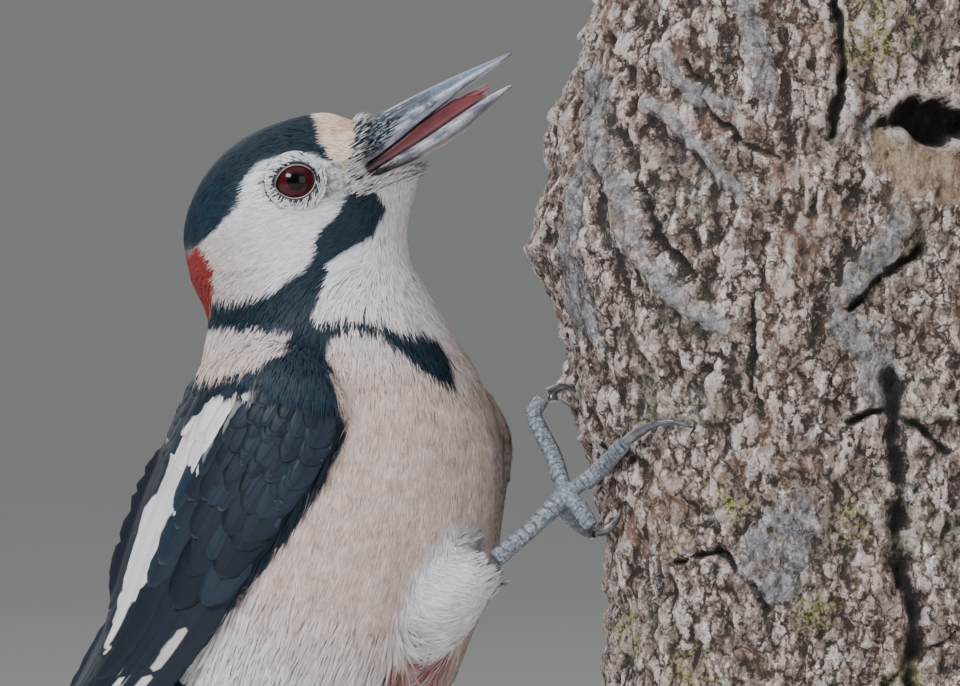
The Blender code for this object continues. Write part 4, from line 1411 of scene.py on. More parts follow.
def trunkGrid():
    # the solid's own outline, read all round and smoothed
    tree = treeOf(frame["nodes"]["perch_log"])
    low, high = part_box("perch_log")
    bottom, top = toLayout(np.array(low))[2] + 0.05, toLayout(np.array(high))[2] - 0.05
    rows, wide = 90, 120
    levels = np.linspace(bottom, top, rows)
    turns = np.linspace(0, 2 * math.pi, wide, endpoint=False)
    reach = np.zeros((rows, wide))
    for row, level in enumerate(levels):
        inner = np.clip(level, bottom + 0.2, top - 0.2)
        start = Vector(toWorld((trunk["centre"][0], trunk["centre"][1], inner)))
        for column, turn in enumerate(turns):
            distance = tree.ray_cast(start, Vector((math.cos(turn), math.sin(turn), 0.0)))[3]
            reach[row, column] = distance * 1000
    for _ in range(5):
        reach = reach * 0.5 + (np.roll(reach, 1, 1) + np.roll(reach, -1, 1)) * 0.25
        reach[1:-1] = reach[1:-1] * 0.5 + (reach[:-2] + reach[2:]) * 0.25
    # the burr's ridges fade out round the face
    even = reach.copy()
    for _ in range(60):
        even[1:-1] = even[1:-1] * 0.5 + (even[:-2] + even[2:]) * 0.25
    sharp = np.exp(-((turns - math.pi) / trunk["burrSpan"]) ** 2)
    return levels, turns, even + (reach - even) * sharp


def makeTrunk():
    levels, turns, reach = trunkGrid()
    # columns start at the far right; the ones toward the viewer and the bird are closest together
    back = np.linspace(-20.0, 130.0, trunk["behind"], endpoint=False)
    front = np.linspace(130.0, 340.0, trunk["front"], endpoint=False)
    turn = np.radians(np.concatenate((back, front)))
    rows = np.concatenate((
        np.linspace(levels[0], trunk["upperFrom"], trunk["lower"], endpoint=False),
        np.linspace(trunk["upperFrom"], levels[-1], trunk["upper"]),
    ))
    y = np.interp(rows, levels, np.arange(len(levels)))
    x = (turn % (2 * math.pi)) / (2 * math.pi) * len(turns)
    low = np.minimum(y.astype(int), len(levels) - 2)
    left = x.astype(int) % len(turns)
    fy, fx = (y - low)[:, None], (x - x.astype(int))[None, :]
    right = (left + 1) % len(turns)
    base = ((reach[low][:, left] * (1 - fx) + reach[low][:, right] * fx) * (1 - fy)
            + (reach[low + 1][:, left] * (1 - fx) + reach[low + 1][:, right] * fx) * fy)
    outward = np.stack((np.cos(turn), np.sin(turn), np.zeros(len(turn))), axis=-1)[None]
    axis = np.stack((0 * rows + trunk["centre"][0], 0 * rows + trunk["centre"][1], rows), axis=-1)
    points = (axis[:, None] + outward * base[..., None]).reshape(-1, 3)
    shape = base.shape
    face = np.where(points[:, 1] < trunk["centre"][1] + 6.0, 1.0, 0.0)
    flat = points[:, [0, 2]]
    # features are bent a little so that nothing runs straight
    bend = np.stack((layeredNoise(points, 5.0, 3, 3), layeredNoise(points, 5.0, 3, 17)), axis=-1)
    flat = flat + bend * 1.1
    # the face's features come again, turned about, on the side away from the viewer
    away = np.stack((124.0 - flat[:, 0], -flat[:, 1] - 8.0), axis=-1)
    flat = np.where(face[:, None] > 0.5, flat, away)
    ragged = layeredNoise(points, 1.9, 3, 61)
    flat = flat + np.stack((ragged, layeredNoise(points, 2.3, 3, 67)), axis=-1) * 0.75
    lumpy = layeredNoise(points * (1.0, 1.0, 0.8), 15.0, 3, 21)
    scaly = layeredNoise(points * (1.0, 1.0, 0.75) + lumpy[:, None] * 2.0, 4.6, 3, 33)
    rough = layeredNoise(points * (1.25, 1.25, 0.8), 1.7, 2, 47)
    bent = points + np.stack((rough, scaly, rough), axis=-1) * 0.9
    one, two, chunk = cellNoise(bent * (1.0, 1.0, 0.5) + lumpy[:, None] * 2.0, 3.8, 5)
    plates = np.clip((two - one) / 0.35, 0.0, 1.0)
    first, second, flake = cellNoise(bent * (1.0, 1.0, 0.55) + scaly[:, None], 1.55, 13)
    patchy = rise(-0.5, 0.5, layeredNoise(points, 7.0, 2, 77))
    chips = (flake - 0.5) * np.clip((second - first) / 0.3, 0.0, 1.0) * (0.35 + patchy)
    callus = np.zeros(len(points))
    rolled = np.zeros(len(points))
    for line, width, height in rolls:
        distance = lineDistance(flat, line)
        share = np.exp(-(distance / width) ** 2)
        rolled = np.maximum(rolled, share * height * (0.85 + 0.35 * rough))
        callus = np.maximum(callus, rise(0.3, 0.75, share + rough * 0.14))
    carved = np.zeros(len(points))
    # dark: painted shade inside the cracks; the hollow is added to it further on
    dark = np.zeros(len(points))
    for line, width, depth in cracks:
        distance = lineDistance(flat, line)
        # a crack narrows, closes and opens again along its way
        opened = rise(-0.75, 0.35, layeredNoise(points, 4.5, 2, 83))
        share = np.exp(-(distance / (width * (0.35 + 0.75 * opened))) ** 2) * (0.3 + 0.7 * opened)
        carved = np.maximum(carved, share * depth)
        dark = np.maximum(dark, share)
    inside = np.hypot((flat[:, 0] - hollow["place"][0]) / hollow["size"][0],
                      (flat[:, 1] - hollow["place"][1]) / hollow["size"][1]) + scaly * 0.42 + ragged * 0.16
    bite = rise(1.25, 0.75, inside)
    below = np.hypot((flat[:, 0] - 67.5) / 7.5, (flat[:, 1] - 26.5) / 6.0)
    bare = rise(1.35, 0.45, below + scaly * 0.75 + ragged * 0.25) * (1 - bite)
    moss = np.zeros(len(points))
    for x0, z0, size in mosses:
        distance = np.hypot(flat[:, 0] - x0, flat[:, 1] - z0)
        moss = np.maximum(moss, rise(1.5, 0.2, distance / size + scaly * 0.9 + rough * 0.4))
    smooth = 1 - 0.75 * np.maximum(callus, bare * 0.8)
    lift = (lumpy * trunk["lumps"] + scaly * trunk["scales"] * smooth + rough * trunk["grain"] * smooth
            + (chunk - 0.5) * plates * trunk["chunks"] * smooth + chips * trunk["chips"] * smooth)
    lift = lift + rolled - carved - bite * hollow["depth"] - bare * 1.6 + moss * 0.35
    # the ragged outline toward the bird
    toward = rise(0.80, 0.985, -np.cos(np.broadcast_to(turn[None], shape).ravel())) * (0.75 + scaly * 0.6)
    lift = lift + toward * (scaly * 1.1 + ragged * 0.7 + rough * 0.5)
    for height, size, amount in edgeBumps:
        lift = lift + toward * amount * np.exp(-((points[:, 2] - height) / size) ** 2)
    # the bark stays clear of the toes, claws and tail
    near = np.full(len(points), 9.0)
    held = [name for name in frame["nodes"] if name.startswith(("toe_", "claw_", "tail", "tarsus_"))]
    grips = joinedCopy("grips", held, 0.0)
    gripTree = treeOf(grips)
    for index, point in enumerate(toWorld(points)):
        found = gripTree.find_nearest(Vector(point), 0.008)
        if found[0] is not None:
            near[index] = found[3] * 1000
    bpy.data.objects.remove(grips)
    limit = -0.3 + np.clip(near, 0.0, 8.0) * 0.55
    lift = np.minimum(lift, limit)
    lift = lift.reshape(shape)
    soft = lift.copy()
    softer = []
    for step in range(70):
        beside = np.roll(soft, 1, 1) + np.roll(soft, -1, 1)
        over = np.concatenate((soft[:1], soft[:-1])) + np.concatenate((soft[1:], soft[-1:]))
        soft = soft * 0.4 + (beside + over) * 0.15
        if step in (7, 69):
            softer.append(soft.copy())
    # cavity: how far each point lies below its softened surroundings; the paint darkens low places with it
    # as painted shade
    cavity = np.clip(0.5 + (lift - softer[0]) * 0.55 + (lift - softer[1]) * 0.22, 0.0, 1.0).ravel()
    points = points + np.broadcast_to(outward, (*shape, 3)).reshape(-1, 3) * lift.reshape(-1, 1)
    count = shape[1]
    number = np.arange(shape[0] * count).reshape(shape)
    after = np.roll(number, -1, axis=1)
    quads = np.stack((number[:-1], after[:-1], after[1:], number[1:]), axis=-1).reshape(-1, 4)
    item = arrayMesh("trunkBark", toWorld(points), (), quads, barkPaint())
    # bark: cavity, callus, moss, and the cracks with the hollow; the cavity and the last give painted shade
    giveColours(item, "bark", np.stack((cavity, callus, moss, np.maximum(dark, bite)), axis=-1))
    giveColours(item, "barkTwo", np.stack((bare, chunk, flake, rough * 0.5 + 0.5), axis=-1))
    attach(item, "root")
    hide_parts("perch_log")
    makeSawn("trunkTop", points[number[-1]], 1)
    makeSawn("trunkFoot", points[number[0]], -1)


sawnEnd = {
    "ring": 1.75,                      # millimetres from one year to the next
    "heart": (0.40, 0.56),             # where the darker heartwood ends, as a share of the radius
    # drying splits: way round in degrees, and where they begin and end along the radius
    "splits": (
        (38.0, 0.05, 0.80), (151.0, 0.30, 0.90), (214.0, 0.02, 0.45), (268.0, 0.12, 0.72),
        (332.0, 0.50, 0.92),
    ),
}


def makeSawn(name, edge, facing):
    # a sawn end: a rough disc of wood inside its ring of bark
    count = len(edge)
    centre = edge.mean(axis=0) + (2.0, -1.5, 0.0)
    shares = np.linspace(0.0, 1.0, 19)[1:]
    ring = (centre + (edge[None] - centre) * shares[:, None, None]).reshape(-1, 3)
    wear = layeredNoise(ring * (1.0, 4.0, 1.0), 3.0, 3, 61) * 0.18
    ring[:, 2] += wear * np.repeat(rise(1.0, 0.93, shares), count) - 0.05 * facing
    vertices = np.concatenate((centre[None], ring))
    number = 1 + np.arange(len(shares) * count).reshape(len(shares), count)
    after = np.roll(number, -1, axis=1)
    triangles = np.stack((np.zeros(count, int), number[0], after[0]), axis=-1)
    quads = np.stack((number[:-1], number[1:], after[1:], after[:-1]), axis=-1).reshape(-1, 4)
    if facing < 0:
        triangles, quads = triangles[:, ::-1], quads[:, ::-1]
    item = arrayMesh(name, toWorld(vertices), triangles, quads, sawnPaint(name + "Paint"))
    radius = np.linalg.norm(ring - centre, axis=1)
    share = np.repeat(shares, count)
    around = np.degrees(np.arctan2(ring[:, 1] - centre[1], ring[:, 0] - centre[0]))
    around = around + 3.0 * np.sin(share * 5.0)
    split = np.zeros(len(ring))
    for place, begin, end in sawnEnd["splits"]:
        gap = np.abs((around - place + 180.0) % 360.0 - 180.0)
        middle = np.clip((share - begin) / (end - begin), 0.0, 1.0)
        split = np.maximum(split, np.exp(-(gap / 1.1) ** 2) * np.sin(middle * math.pi) ** 0.5)
    cut = np.stack((share, radius / 60.0, split, np.ones(len(ring))), axis=-1)
    giveColours(item, "cut", np.concatenate(((0.0, 0.0, 0.0, 1.0), cut.ravel())))
    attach(item, "root")
    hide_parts("perch_log")


def barkPaint():
    paint = Paint("barkPaint")
    cavity, callus, moss, dark = paint.parts("bark")
    bare, chunk, flake, _ = paint.parts("barkTwo")
    broad = paint.noise(15.0, 4.0)
    mid = paint.noise(3.6, 5.0, 0.65)
    fine = paint.noise(1.0, 5.0, 0.7)
    speck = paint.noise(0.5, 3.0, 0.6)
    fibres = paint.noise(1.3, 4.0, 0.6, paint.stretch(paint.place(), (1.0, 1.0, 0.32)))
    # flakes with dark gaps between them, pushed about so that no row of them shows
    push = paint.outputOf(paint.noise(2.2, 3.0, 0.6), "Color")
    values = {0: push, 1: (0.0034, 0.0034, 0.0034), 2: paint.stretch(paint.place(), (1.0, 1.0, 0.6))}
    bent = paint.node("ShaderNodeVectorMath", {"operation": "MULTIPLY_ADD"}, values)
    flakes = paint.cells(2.7, "DISTANCE_TO_EDGE", bent).ramp(0.0, 0.16)
    crumbs = paint.cells(1.05, "DISTANCE_TO_EDGE", bent).ramp(0.0, 0.22)
    gaps = flakes * 0.6 + crumbs * 0.4
    # height takes in the cavity, so the colours below are darker in low places: partly painted shade, partly
    # the bark's own texture
    height = cavity * 0.8 + (fine - 0.5) * 0.8 + (fibres - 0.5) * 0.45 + (gaps - 0.72) * 0.5 + 0.08
    colour = paint.blend(height.ramp(0.16, 0.54), (0.020, 0.014, 0.012), (0.185, 0.135, 0.115))
    tone = (height + (mid - 0.5) * 1.35 + (chunk - 0.5) * 0.16 + (flake - 0.5) * 0.2).ramp(0.42, 0.86)
    colour = paint.blend(tone * (0.65 + broad * 0.6), colour, (0.46, 0.39, 0.37))
    # painted highlight: pale on the raised fibres and flake tops
    lit = fibres.ramp(0.48, 0.64) * gaps.ramp(0.5, 0.95) * height.ramp(0.38, 0.75)
    colour = paint.blend(lit * mid.ramp(0.36, 0.56) * 0.85, colour, (0.70, 0.64, 0.63))
    colour = paint.blend(speck.ramp(0.44, 0.34) * 0.6, colour, (0.030, 0.022, 0.020))
    rusty = broad.ramp(0.5, 0.66) * mid.ramp(0.42, 0.62) * 0.55
    colour = paint.blend(rusty, colour, (0.215, 0.115, 0.075))
    greenish = broad.ramp(0.47, 0.33) * fine.ramp(0.4, 0.6) * 0.5
    colour = paint.blend(greenish, colour, (0.18, 0.18, 0.125))
    blue = mid.ramp(0.56, 0.70) * fibres.ramp(0.4, 0.6) * 0.45
    colour = paint.blend(blue, colour, (0.19, 0.21, 0.25))
    rolledTone = paint.blend((fibres * 0.5 + fine * 0.4 + mid * 0.3).ramp(0.46, 0.74), (0.022, 0.026, 0.034),
                             (0.20, 0.205, 0.225))
    # painted highlight: pale flecks on the callus's flakes
    flakeHighlight = (fine * 0.6 + speck * 0.4).ramp(0.54, 0.64) * gaps
    rolledTone = paint.blend(flakeHighlight * 0.7, rolledTone, (0.46, 0.465, 0.49))
    colour = paint.blend(callus * (mid + fine * 0.5).ramp(0.52, 0.88) * 0.85, colour, rolledTone)
    grain = paint.noise(1.6, 5.0, 0.65, paint.stretch(paint.place(), (1.0, 1.0, 0.16)))
    worn = (grain * 0.8 + fine * 0.3).ramp(0.36, 0.70)
    woodTone = paint.blend(worn, (0.070, 0.042, 0.028), (0.36, 0.255, 0.175))
    colour = paint.blend((bare * 1.2).ramp(0.1, 0.9) * 0.85, colour, woodTone)
    mossTone = paint.blend(speck.ramp(0.35, 0.65), (0.045, 0.052, 0.016), (0.27, 0.285, 0.085))
    colour = paint.blend(moss * (fine + (mid - 0.5) * 0.6).ramp(0.42, 0.64) * 0.85, colour, mossTone)
    # painted shade in the low places of the bark
    colour = paint.blend(cavity.ramp(0.34, 0.02) * 0.6, colour, (0.020, 0.015, 0.014))
    # painted shade inside the cracks and the hollow
    colour = paint.blend(dark.ramp(0.30, 0.9) * 0.92, colour, (0.010, 0.008, 0.007))
    relief = fine * 0.6 + speck * 0.25 + fibres * 0.5 + gaps * 0.6 + mid * 0.9
    normal = paint.bump(relief, 0.85, 0.42)
    material = paint.finish(Base_Color=colour, Roughness=0.74 + fine * 0.25 - callus * 0.28, Normal=normal)
    paint.shader.inputs["Specular IOR Level"].default_value = 0.35
    return material


def sawnPaint(name):
    paint = Paint(name)
    share, radius, split, _ = paint.parts("cut")
    wander = paint.noise(14.0, 3.0)
    fine = paint.noise(0.8, 4.0, 0.65)
    rings = (radius * 60.0 + wander * 4.0) * (2 * math.pi / sawnEnd["ring"])
    late = rings.sine().ramp(0.0, 0.9)
    years = (rings * 0.23 + wander * 5.0).sine() * 0.5 + 0.5
    colour = paint.blend(late * (0.45 + years * 0.55), (0.52, 0.385, 0.25), (0.215, 0.125, 0.066))
    low, high = sawnEnd["heart"]
    colour = paint.blend((share + wander * 0.2 - 0.1).ramp(high, low) * 0.55, colour, (0.26, 0.145, 0.078))
    colour = paint.blend(fine.ramp(0.5, 0.7) * 0.35, colour, (0.60, 0.48, 0.34))
    colour = paint.blend(split.ramp(0.3, 0.8) * 0.92, colour, (0.035, 0.022, 0.015))
    colour = paint.blend((share + wander * 0.04).ramp(0.925, 0.945), colour, (0.085, 0.055, 0.04))
    grain = paint.noise(0.5, 3.0, 0.6, paint.stretch(paint.place(), (0.25, 1.0, 1.0)))
    normal = paint.bump(grain * 0.6 + fine * 0.4, 0.6, 0.25)
    return paint.finish(Base_Color=colour, Roughness=0.66 + fine * 0.2, Normal=normal)


makeTrunk()
print("trunk made")


eyeShape = {
    "opening": (2.86, 2.34, 2.42),     # half width, height above the middle, height below it
    "lidEdge": 3.57,
    "lidReach": 4.7,
    "lidSeat": 1.75,
}


def eyePaint():
    # rings about the gaze: black pupil, crimson iris, dark rim
    paint = Paint("eyePaint")
    out, _, _, _ = paint.parts("eyeRing")
    streak = paint.noise(0.45, 3.0, 0.6)
    soft = paint.noise(1.6, 2.0)
    spokes = (streak * 0.9 + soft * 0.4 - 0.15).clamp()
    iris = paint.blend(spokes, (0.012, 0.0009, 0.0018), (0.062, 0.0036, 0.0076))
    iris = paint.blend(out.ramp(0.66, 0.84), iris, (0.012, 0.002, 0.003))
    colour = paint.blend(out.ramp(0.395, 0.435), (0.0010, 0.0008, 0.0010), iris)
    colour = paint.blend(out.ramp(0.86, 0.93), colour, (0.006, 0.004, 0.005))
    material = paint.finish(Base_Color=colour, Roughness=0.25)
    paint.shader.inputs["Coat Weight"].default_value = 1.0
    paint.shader.inputs["Coat Roughness"].default_value = 0.02
    paint.shader.inputs["Coat IOR"].default_value = 1.25
    paint.shader.inputs["Specular IOR Level"].default_value = 0.05
    return material


def lidPaint():
    paint = Paint("lidPaint")
    out, _, _, _ = paint.parts("lid")
    fine = paint.noise(0.35, 3.0)
    colour = paint.blend(fine, (0.27, 0.225, 0.22), (0.42, 0.36, 0.35))
    dark = paint.blend(fine.ramp(0.35, 0.65), (0.022, 0.021, 0.024), (0.085, 0.08, 0.085))
    colour = paint.blend(out.ramp(0.075, 0.13), colour, dark)
    outer = paint.blend(fine, (0.26, 0.255, 0.27), (0.50, 0.49, 0.51))
    colour = paint.blend(out.ramp(0.26, 0.42), colour, outer)
    wrinkle = (out * 60.0 + fine * 3.0).sine()
    normal = paint.bump(wrinkle * 0.4 + fine, 0.5, 0.08)
    return paint.finish(Base_Color=colour, Roughness=0.5 + fine * 0.2, Normal=normal)


def makeEye(side, material):
    low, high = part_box("eye_" + side)
    low, high = toLayout(np.array(low)), toLayout(np.array(high))
    centre = (low + high) / 2
    radius = (high[2] - low[2]) / 2
    hand = -1.0 if side == "right" else 1.0
    gaze = unit(np.array((0.13, hand, 0.07)))
    up = unit(np.array((-0.28, 0.0, 1.0)) - gaze * ((-0.28, 0.0, 1.0) @ gaze))
    fore = np.cross(up, gaze) * hand * -1
    rings, sides = 44, 64
    vertices, outs = [], []
    for ring in range(rings + 1):
        tilt = math.pi * ring / rings
        # the clear front bulges a little
        bulge = 1 + 0.035 * max(math.cos(tilt), 0.0) ** 6
        for step in range(sides):
            turn = 2 * math.pi * step / sides
            way = (fore * math.cos(turn) + up * math.sin(turn)) * math.sin(tilt) + gaze * math.cos(tilt)
            vertices.append(centre + way * radius * bulge)
            outs.append((math.sin(tilt) if tilt < math.pi / 2 else 1.0, step / sides, 0.0, 1.0))
    number = np.arange((rings + 1) * sides).reshape(rings + 1, sides)
    after = np.roll(number, -1, axis=1)
    quads = np.stack((number[:-1], number[1:], after[1:], after[:-1]), axis=-1).reshape(-1, 4)
    if np.dot(np.cross(up, gaze), fore) > 0:
        quads = quads[:, ::-1]
    ball = arrayMesh("eyeball" + side.title(), toWorld(np.array(vertices)), (), quads, material)
    giveColours(ball, "eyeRing", np.array(outs))
    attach(ball, "root")
    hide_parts("eye_" + side)
    makeLid(side, centre, gaze, up, fore)
    return {"centre": centre, "gaze": gaze, "up": up, "fore": fore}


def makeLid(side, centre, gaze, up, fore):
    # bare rim and folded skin from the opening out to the small feathers
    wide, above, below = eyeShape["opening"]
    sides = 120
    profile = np.linspace(0.0, 1.0, 18)
    vertices, marks = [], []
    for step in range(sides):
        turn = 2 * math.pi * step / sides
        tall = above if math.sin(turn) > 0 else below
        # the corners are drawn out a little
        corner = abs(math.cos(turn)) ** 14 * 0.22
        edge = 1 / math.hypot(math.cos(turn) / wide, math.sin(turn) / tall) + corner
        way = fore * math.cos(turn) + up * math.sin(turn)
        for place in profile:
            reach = edge + (eyeShape["lidReach"] - edge) * place
            seat = math.sqrt(max(eyeShape["lidEdge"] ** 2 - edge ** 2, 0.2))
            # a rounded rim, a crease behind it and a slope down to the cheek
            height = seat + (eyeShape["lidSeat"] - seat) * place ** 1.25
            height += 0.2 * math.sin(math.pi * min(place / 0.15, 1.0))
            height -= 0.10 * math.exp(-((place - 0.27) / 0.06) ** 2)
            height += 0.05 * math.sin(place * 34 + math.sin(turn * 3)) * (place > 0.2)
            if place == 0.0:
                height -= 0.55
                reach += 0.02
            vertices.append(centre + way * reach + gaze * height)
            marks.append((place, 0.0, 0.0, 1.0))
    rows = len(profile)
    number = np.arange(sides * rows).reshape(sides, rows)
    after = np.roll(number, -1, axis=0)
    quads = np.stack((number[:, :-1], number[:, 1:], after[:, 1:], after[:, :-1]), axis=-1).reshape(-1, 4)
    if side == "left":
        quads = quads[:, ::-1]
    lid = arrayMesh("lid" + side.title(), toWorld(np.array(vertices)), (), quads, lidMaterial)
    giveColours(lid, "lid", np.array(marks))
    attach(lid, "root")


def makeBeads(side, eye):
    # the smallest feathers, in rows round the lids, dark and white by turns
    roots, normals, lies, black, lengths = [], [], [], [], []
    wide, above, below = eyeShape["opening"]
    for row, gap in enumerate((0.5, 0.85, 1.25, 1.7, 2.1)):
        count = 78 + row * 10
        for step in range(count):
            turn = 2 * math.pi * (step + 0.5 * (row % 2)) / count + rng.normal(0.0, 0.02)
            tall = above if math.sin(turn) > 0 else below
            edge = 1 / math.hypot(math.cos(turn) / wide, math.sin(turn) / tall) + gap
            way = eye["fore"] * math.cos(turn) + eye["up"] * math.sin(turn)
            place = (edge - wide) / (eyeShape["lidReach"] - wide)
            proud = 0.75 if abs(math.sin(turn)) > 0.5 else 0.4
            height = 2.15 - 0.45 * np.clip(place, 0.0, 1.0) + proud * (1 - gap / 2.4)
            roots.append(eye["centre"] + way * edge + eye["gaze"] * height)
            normals.append(eye["gaze"])
            lies.append(unit(way * 0.8 + eye["fore"] * -0.8 - eye["up"] * 0.25))
            under = math.sin(turn) < 0
            chance = (0.5 if under else 0.9) if row == 0 else (0.3 if under else 0.12) if row == 1 else 0.03
            if math.cos(turn) > 0.45 and row > 0:
                chance += 0.30 - row * 0.05
            black.append(float(rng.random() < chance))
            lengths.append(0.6 + 0.24 * row)
    roots, normals, lies = (np.array(part) for part in (roots, normals, lies))
    black, lengths = np.array(black), np.array(lengths)
    spare = np.zeros(len(roots))
    marks = {"black": black, "red": spare, "tan": spare, "pink": spare, "brown": spare, "grey": spare}
    lid = treeOf(bpy.data.objects["lid" + side.title()])
    growSlivers("beads" + side.title(), roots, normals, lies, lengths, np.full(len(roots), 0.20),
                np.full(len(roots), 0.09), spare, lid, marks)


lidMaterial = lidPaint()
eyeMaterial = eyePaint()
for eyeSide in ("right", "left"):
    makeBeads(eyeSide, makeEye(eyeSide, eyeMaterial))
print("eyes made")


billShape = {
    "line": (0.838, 0.0, 0.545),
    "base": (-19.0, 0.0, 29.0),
    "length": 31.0,
    "voxel": 0.24,
}


def billPaint():
    paint = Paint("billPaint")
    along, up, edge, lower = paint.parts("bill")
    line = paint.place()
    streak = paint.noise(2.4, 4.0, 0.62, paint.stretch(line, (0.42, 1.6, 0.55)))
    fine = paint.noise(0.7, 4.0, 0.62, paint.stretch(line, (0.5, 1.5, 0.6)))
    soft = paint.noise(5.0, 3.0)
    side = paint.blend(streak.ramp(0.40, 0.60), (0.085, 0.098, 0.145), (0.40, 0.42, 0.50))
    culmen = paint.blend(streak.ramp(0.38, 0.64), (0.014, 0.025, 0.052), (0.085, 0.13, 0.225))
    colour = paint.blend((up + streak * 0.5 - 0.25).ramp(0.50, 0.74), side, culmen)
    under = paint.blend(streak.ramp(0.40, 0.60), (0.100, 0.094, 0.130), (0.38, 0.365, 0.425))
    keel = paint.blend(soft, (0.10, 0.085, 0.085), (0.24, 0.20, 0.19))
    under = paint.blend(up.ramp(0.42, 0.12), under, keel)
    colour = paint.blend(lower, colour, under)
    colour = paint.blend(along.ramp(0.74, 1.0) * 0.8, colour, (0.045, 0.055, 0.075))
    rim = edge.ramp(0.5, 0.95)
    colour = paint.blend(rim * 0.55, colour, (0.16, 0.12, 0.14))
    colour = paint.blend(fine.ramp(0.56, 0.72) * 0.35, colour, (0.66, 0.67, 0.70))
    colour = paint.blend(fine.ramp(0.44, 0.30) * 0.45, colour, (0.055, 0.06, 0.075))
    rough = 0.36 + fine * 0.26
    normal = paint.bump(streak * 0.6 + fine * 0.5, 0.55, 0.16)
    material = paint.finish(Base_Color=colour, Roughness=rough, Normal=normal)
    paint.shader.inputs["Coat Weight"].default_value = 0.18
    paint.shader.inputs["Coat Roughness"].default_value = 0.3
    return material


def makeBill():
    line = unit(np.array(billShape["line"]))
    upward = np.array((-line[2], 0.0, line[0]))
    material = billPaint()
    trees = []
    for name, lower in (("bill_upper", 0.0), ("bill_lower", 1.0)):
        item = joinedCopy("bill" + name.split("_")[1].title(), (name,), 0.0)
        remeshed(item, billShape["voxel"], 3)
        item.data.materials.append(material)
        points = toLayout(meshPoints(item))
        normals = meshNormals(item)
        offset = points - np.array(billShape["base"])
        along = np.clip(offset @ line / billShape["length"], 0.0, 1.0)
        across = offset @ upward
        bins = np.linspace(0, 1, 26)
        slot = np.clip(np.digitize(along, bins), 1, 25)
        groups = [across[slot == each] for each in range(1, 26)]
        lowest = np.array([group.min() if len(group) else 0.0 for group in groups])
        highest = np.array([group.max() if len(group) else 1.0 for group in groups])
        centres = (bins[1:] + bins[:-1]) / 2
        bottom, top = np.interp(along, centres, lowest), np.interp(along, centres, highest)
        up = np.clip((across - bottom) / np.maximum(top - bottom, 0.2), 0.0, 1.0)
        # a groove from the nostril toward the tip, and fine fibres
        height = layeredNoise(points * (0.35, 1.6, 0.5), 1.0, 2, 71) * 0.05
        if lower == 0.0:
            groove = np.exp(-((up - 0.66 + 0.18 * along) / 0.07) ** 2) * rise(0.84, 0.5, along)
            ledge = rise(0.58, 0.70, up) * 0.18 * rise(0.9, 0.5, along)
            height = height - groove * 0.42 + ledge
        else:
            height = height - np.exp(-((up - 0.45) / 0.08) ** 2) * 0.16 * rise(0.8, 0.3, along)
        side = rise(0.15, 0.5, np.abs(normals[:, 1]))
        points = points + normals * (height * side)[:, None]
        setPoints(item, toWorld(points))
        inner = up if lower else 1 - up
        edge = rise(0.82, 0.99, inner)
        giveColours(item, "bill", np.stack((along, up, edge, np.full(len(points), lower)), axis=-1))
        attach(item, "root")
        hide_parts(name)
        trees.append(item)
    makeTongue()
    return trees


def makeTongue():
    paint = Paint("tonguePaint")
    fine = paint.noise(0.8, 3.0)
    soft = paint.noise(4.0, 2.0)
    colour = paint.blend(soft, (0.17, 0.028, 0.042), (0.36, 0.10, 0.12))
    colour = paint.blend(fine * 0.3, colour, (0.50, 0.22, 0.22))
    material = paint.finish(Base_Color=colour, Roughness=0.32, Normal=paint.bump(fine, 0.4, 0.12))
    paint.shader.inputs["Coat Weight"].default_value = 0.5
    paint.shader.inputs["Coat Roughness"].default_value = 0.15
    item = joinedCopy("tongueFlesh", ("tongue",), 0.0)
    remeshed(item, 0.16, 3)
    item.data.materials.append(material)
    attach(item, "root")
    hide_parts("tongue")


billPieces = makeBill()


bristles = {
    "edge": ((-16.9, 37.2), (-17.6, 34.6), (-19.5, 25.6), (-19.2, 24.3), (-7.4, 28.6)),
    "face": 5200,
    "band": 2.0,              # how far back from the edge of the face they start
    "bill": 3000,
    # height on the bill, and how far from its base they run there
    "upper": ((-2.2, 0.2), (-1.7, 0.6), (-1.2, 2.6), (-0.3, 5.0), (0.7, 7.8), (2.0, 7.4), (3.4, 5.6)),
    "lower": ((-6.0, 5.6), (-4.4, 4.8), (-3.6, 3.0), (-2.6, 1.6)),
}


def alongEdge(points):
    # the nearest place on the edge of the face, and how far away it is
    line = np.array(bristles["edge"])
    flat = points[:, [0, 2]]
    best = np.full(len(points), 1e9)
    place = np.zeros(len(points))
    for index, (first, second) in enumerate(zip(line[:-1], line[1:])):
        way = second - first
        share = np.clip((flat - first) @ way / (way @ way), 0.0, 1.0)
        gap = np.linalg.norm(flat - first - share[:, None] * way, axis=1)
        place = np.where(gap < best, index + share, place)
        best = np.minimum(best, gap)
    return place, best


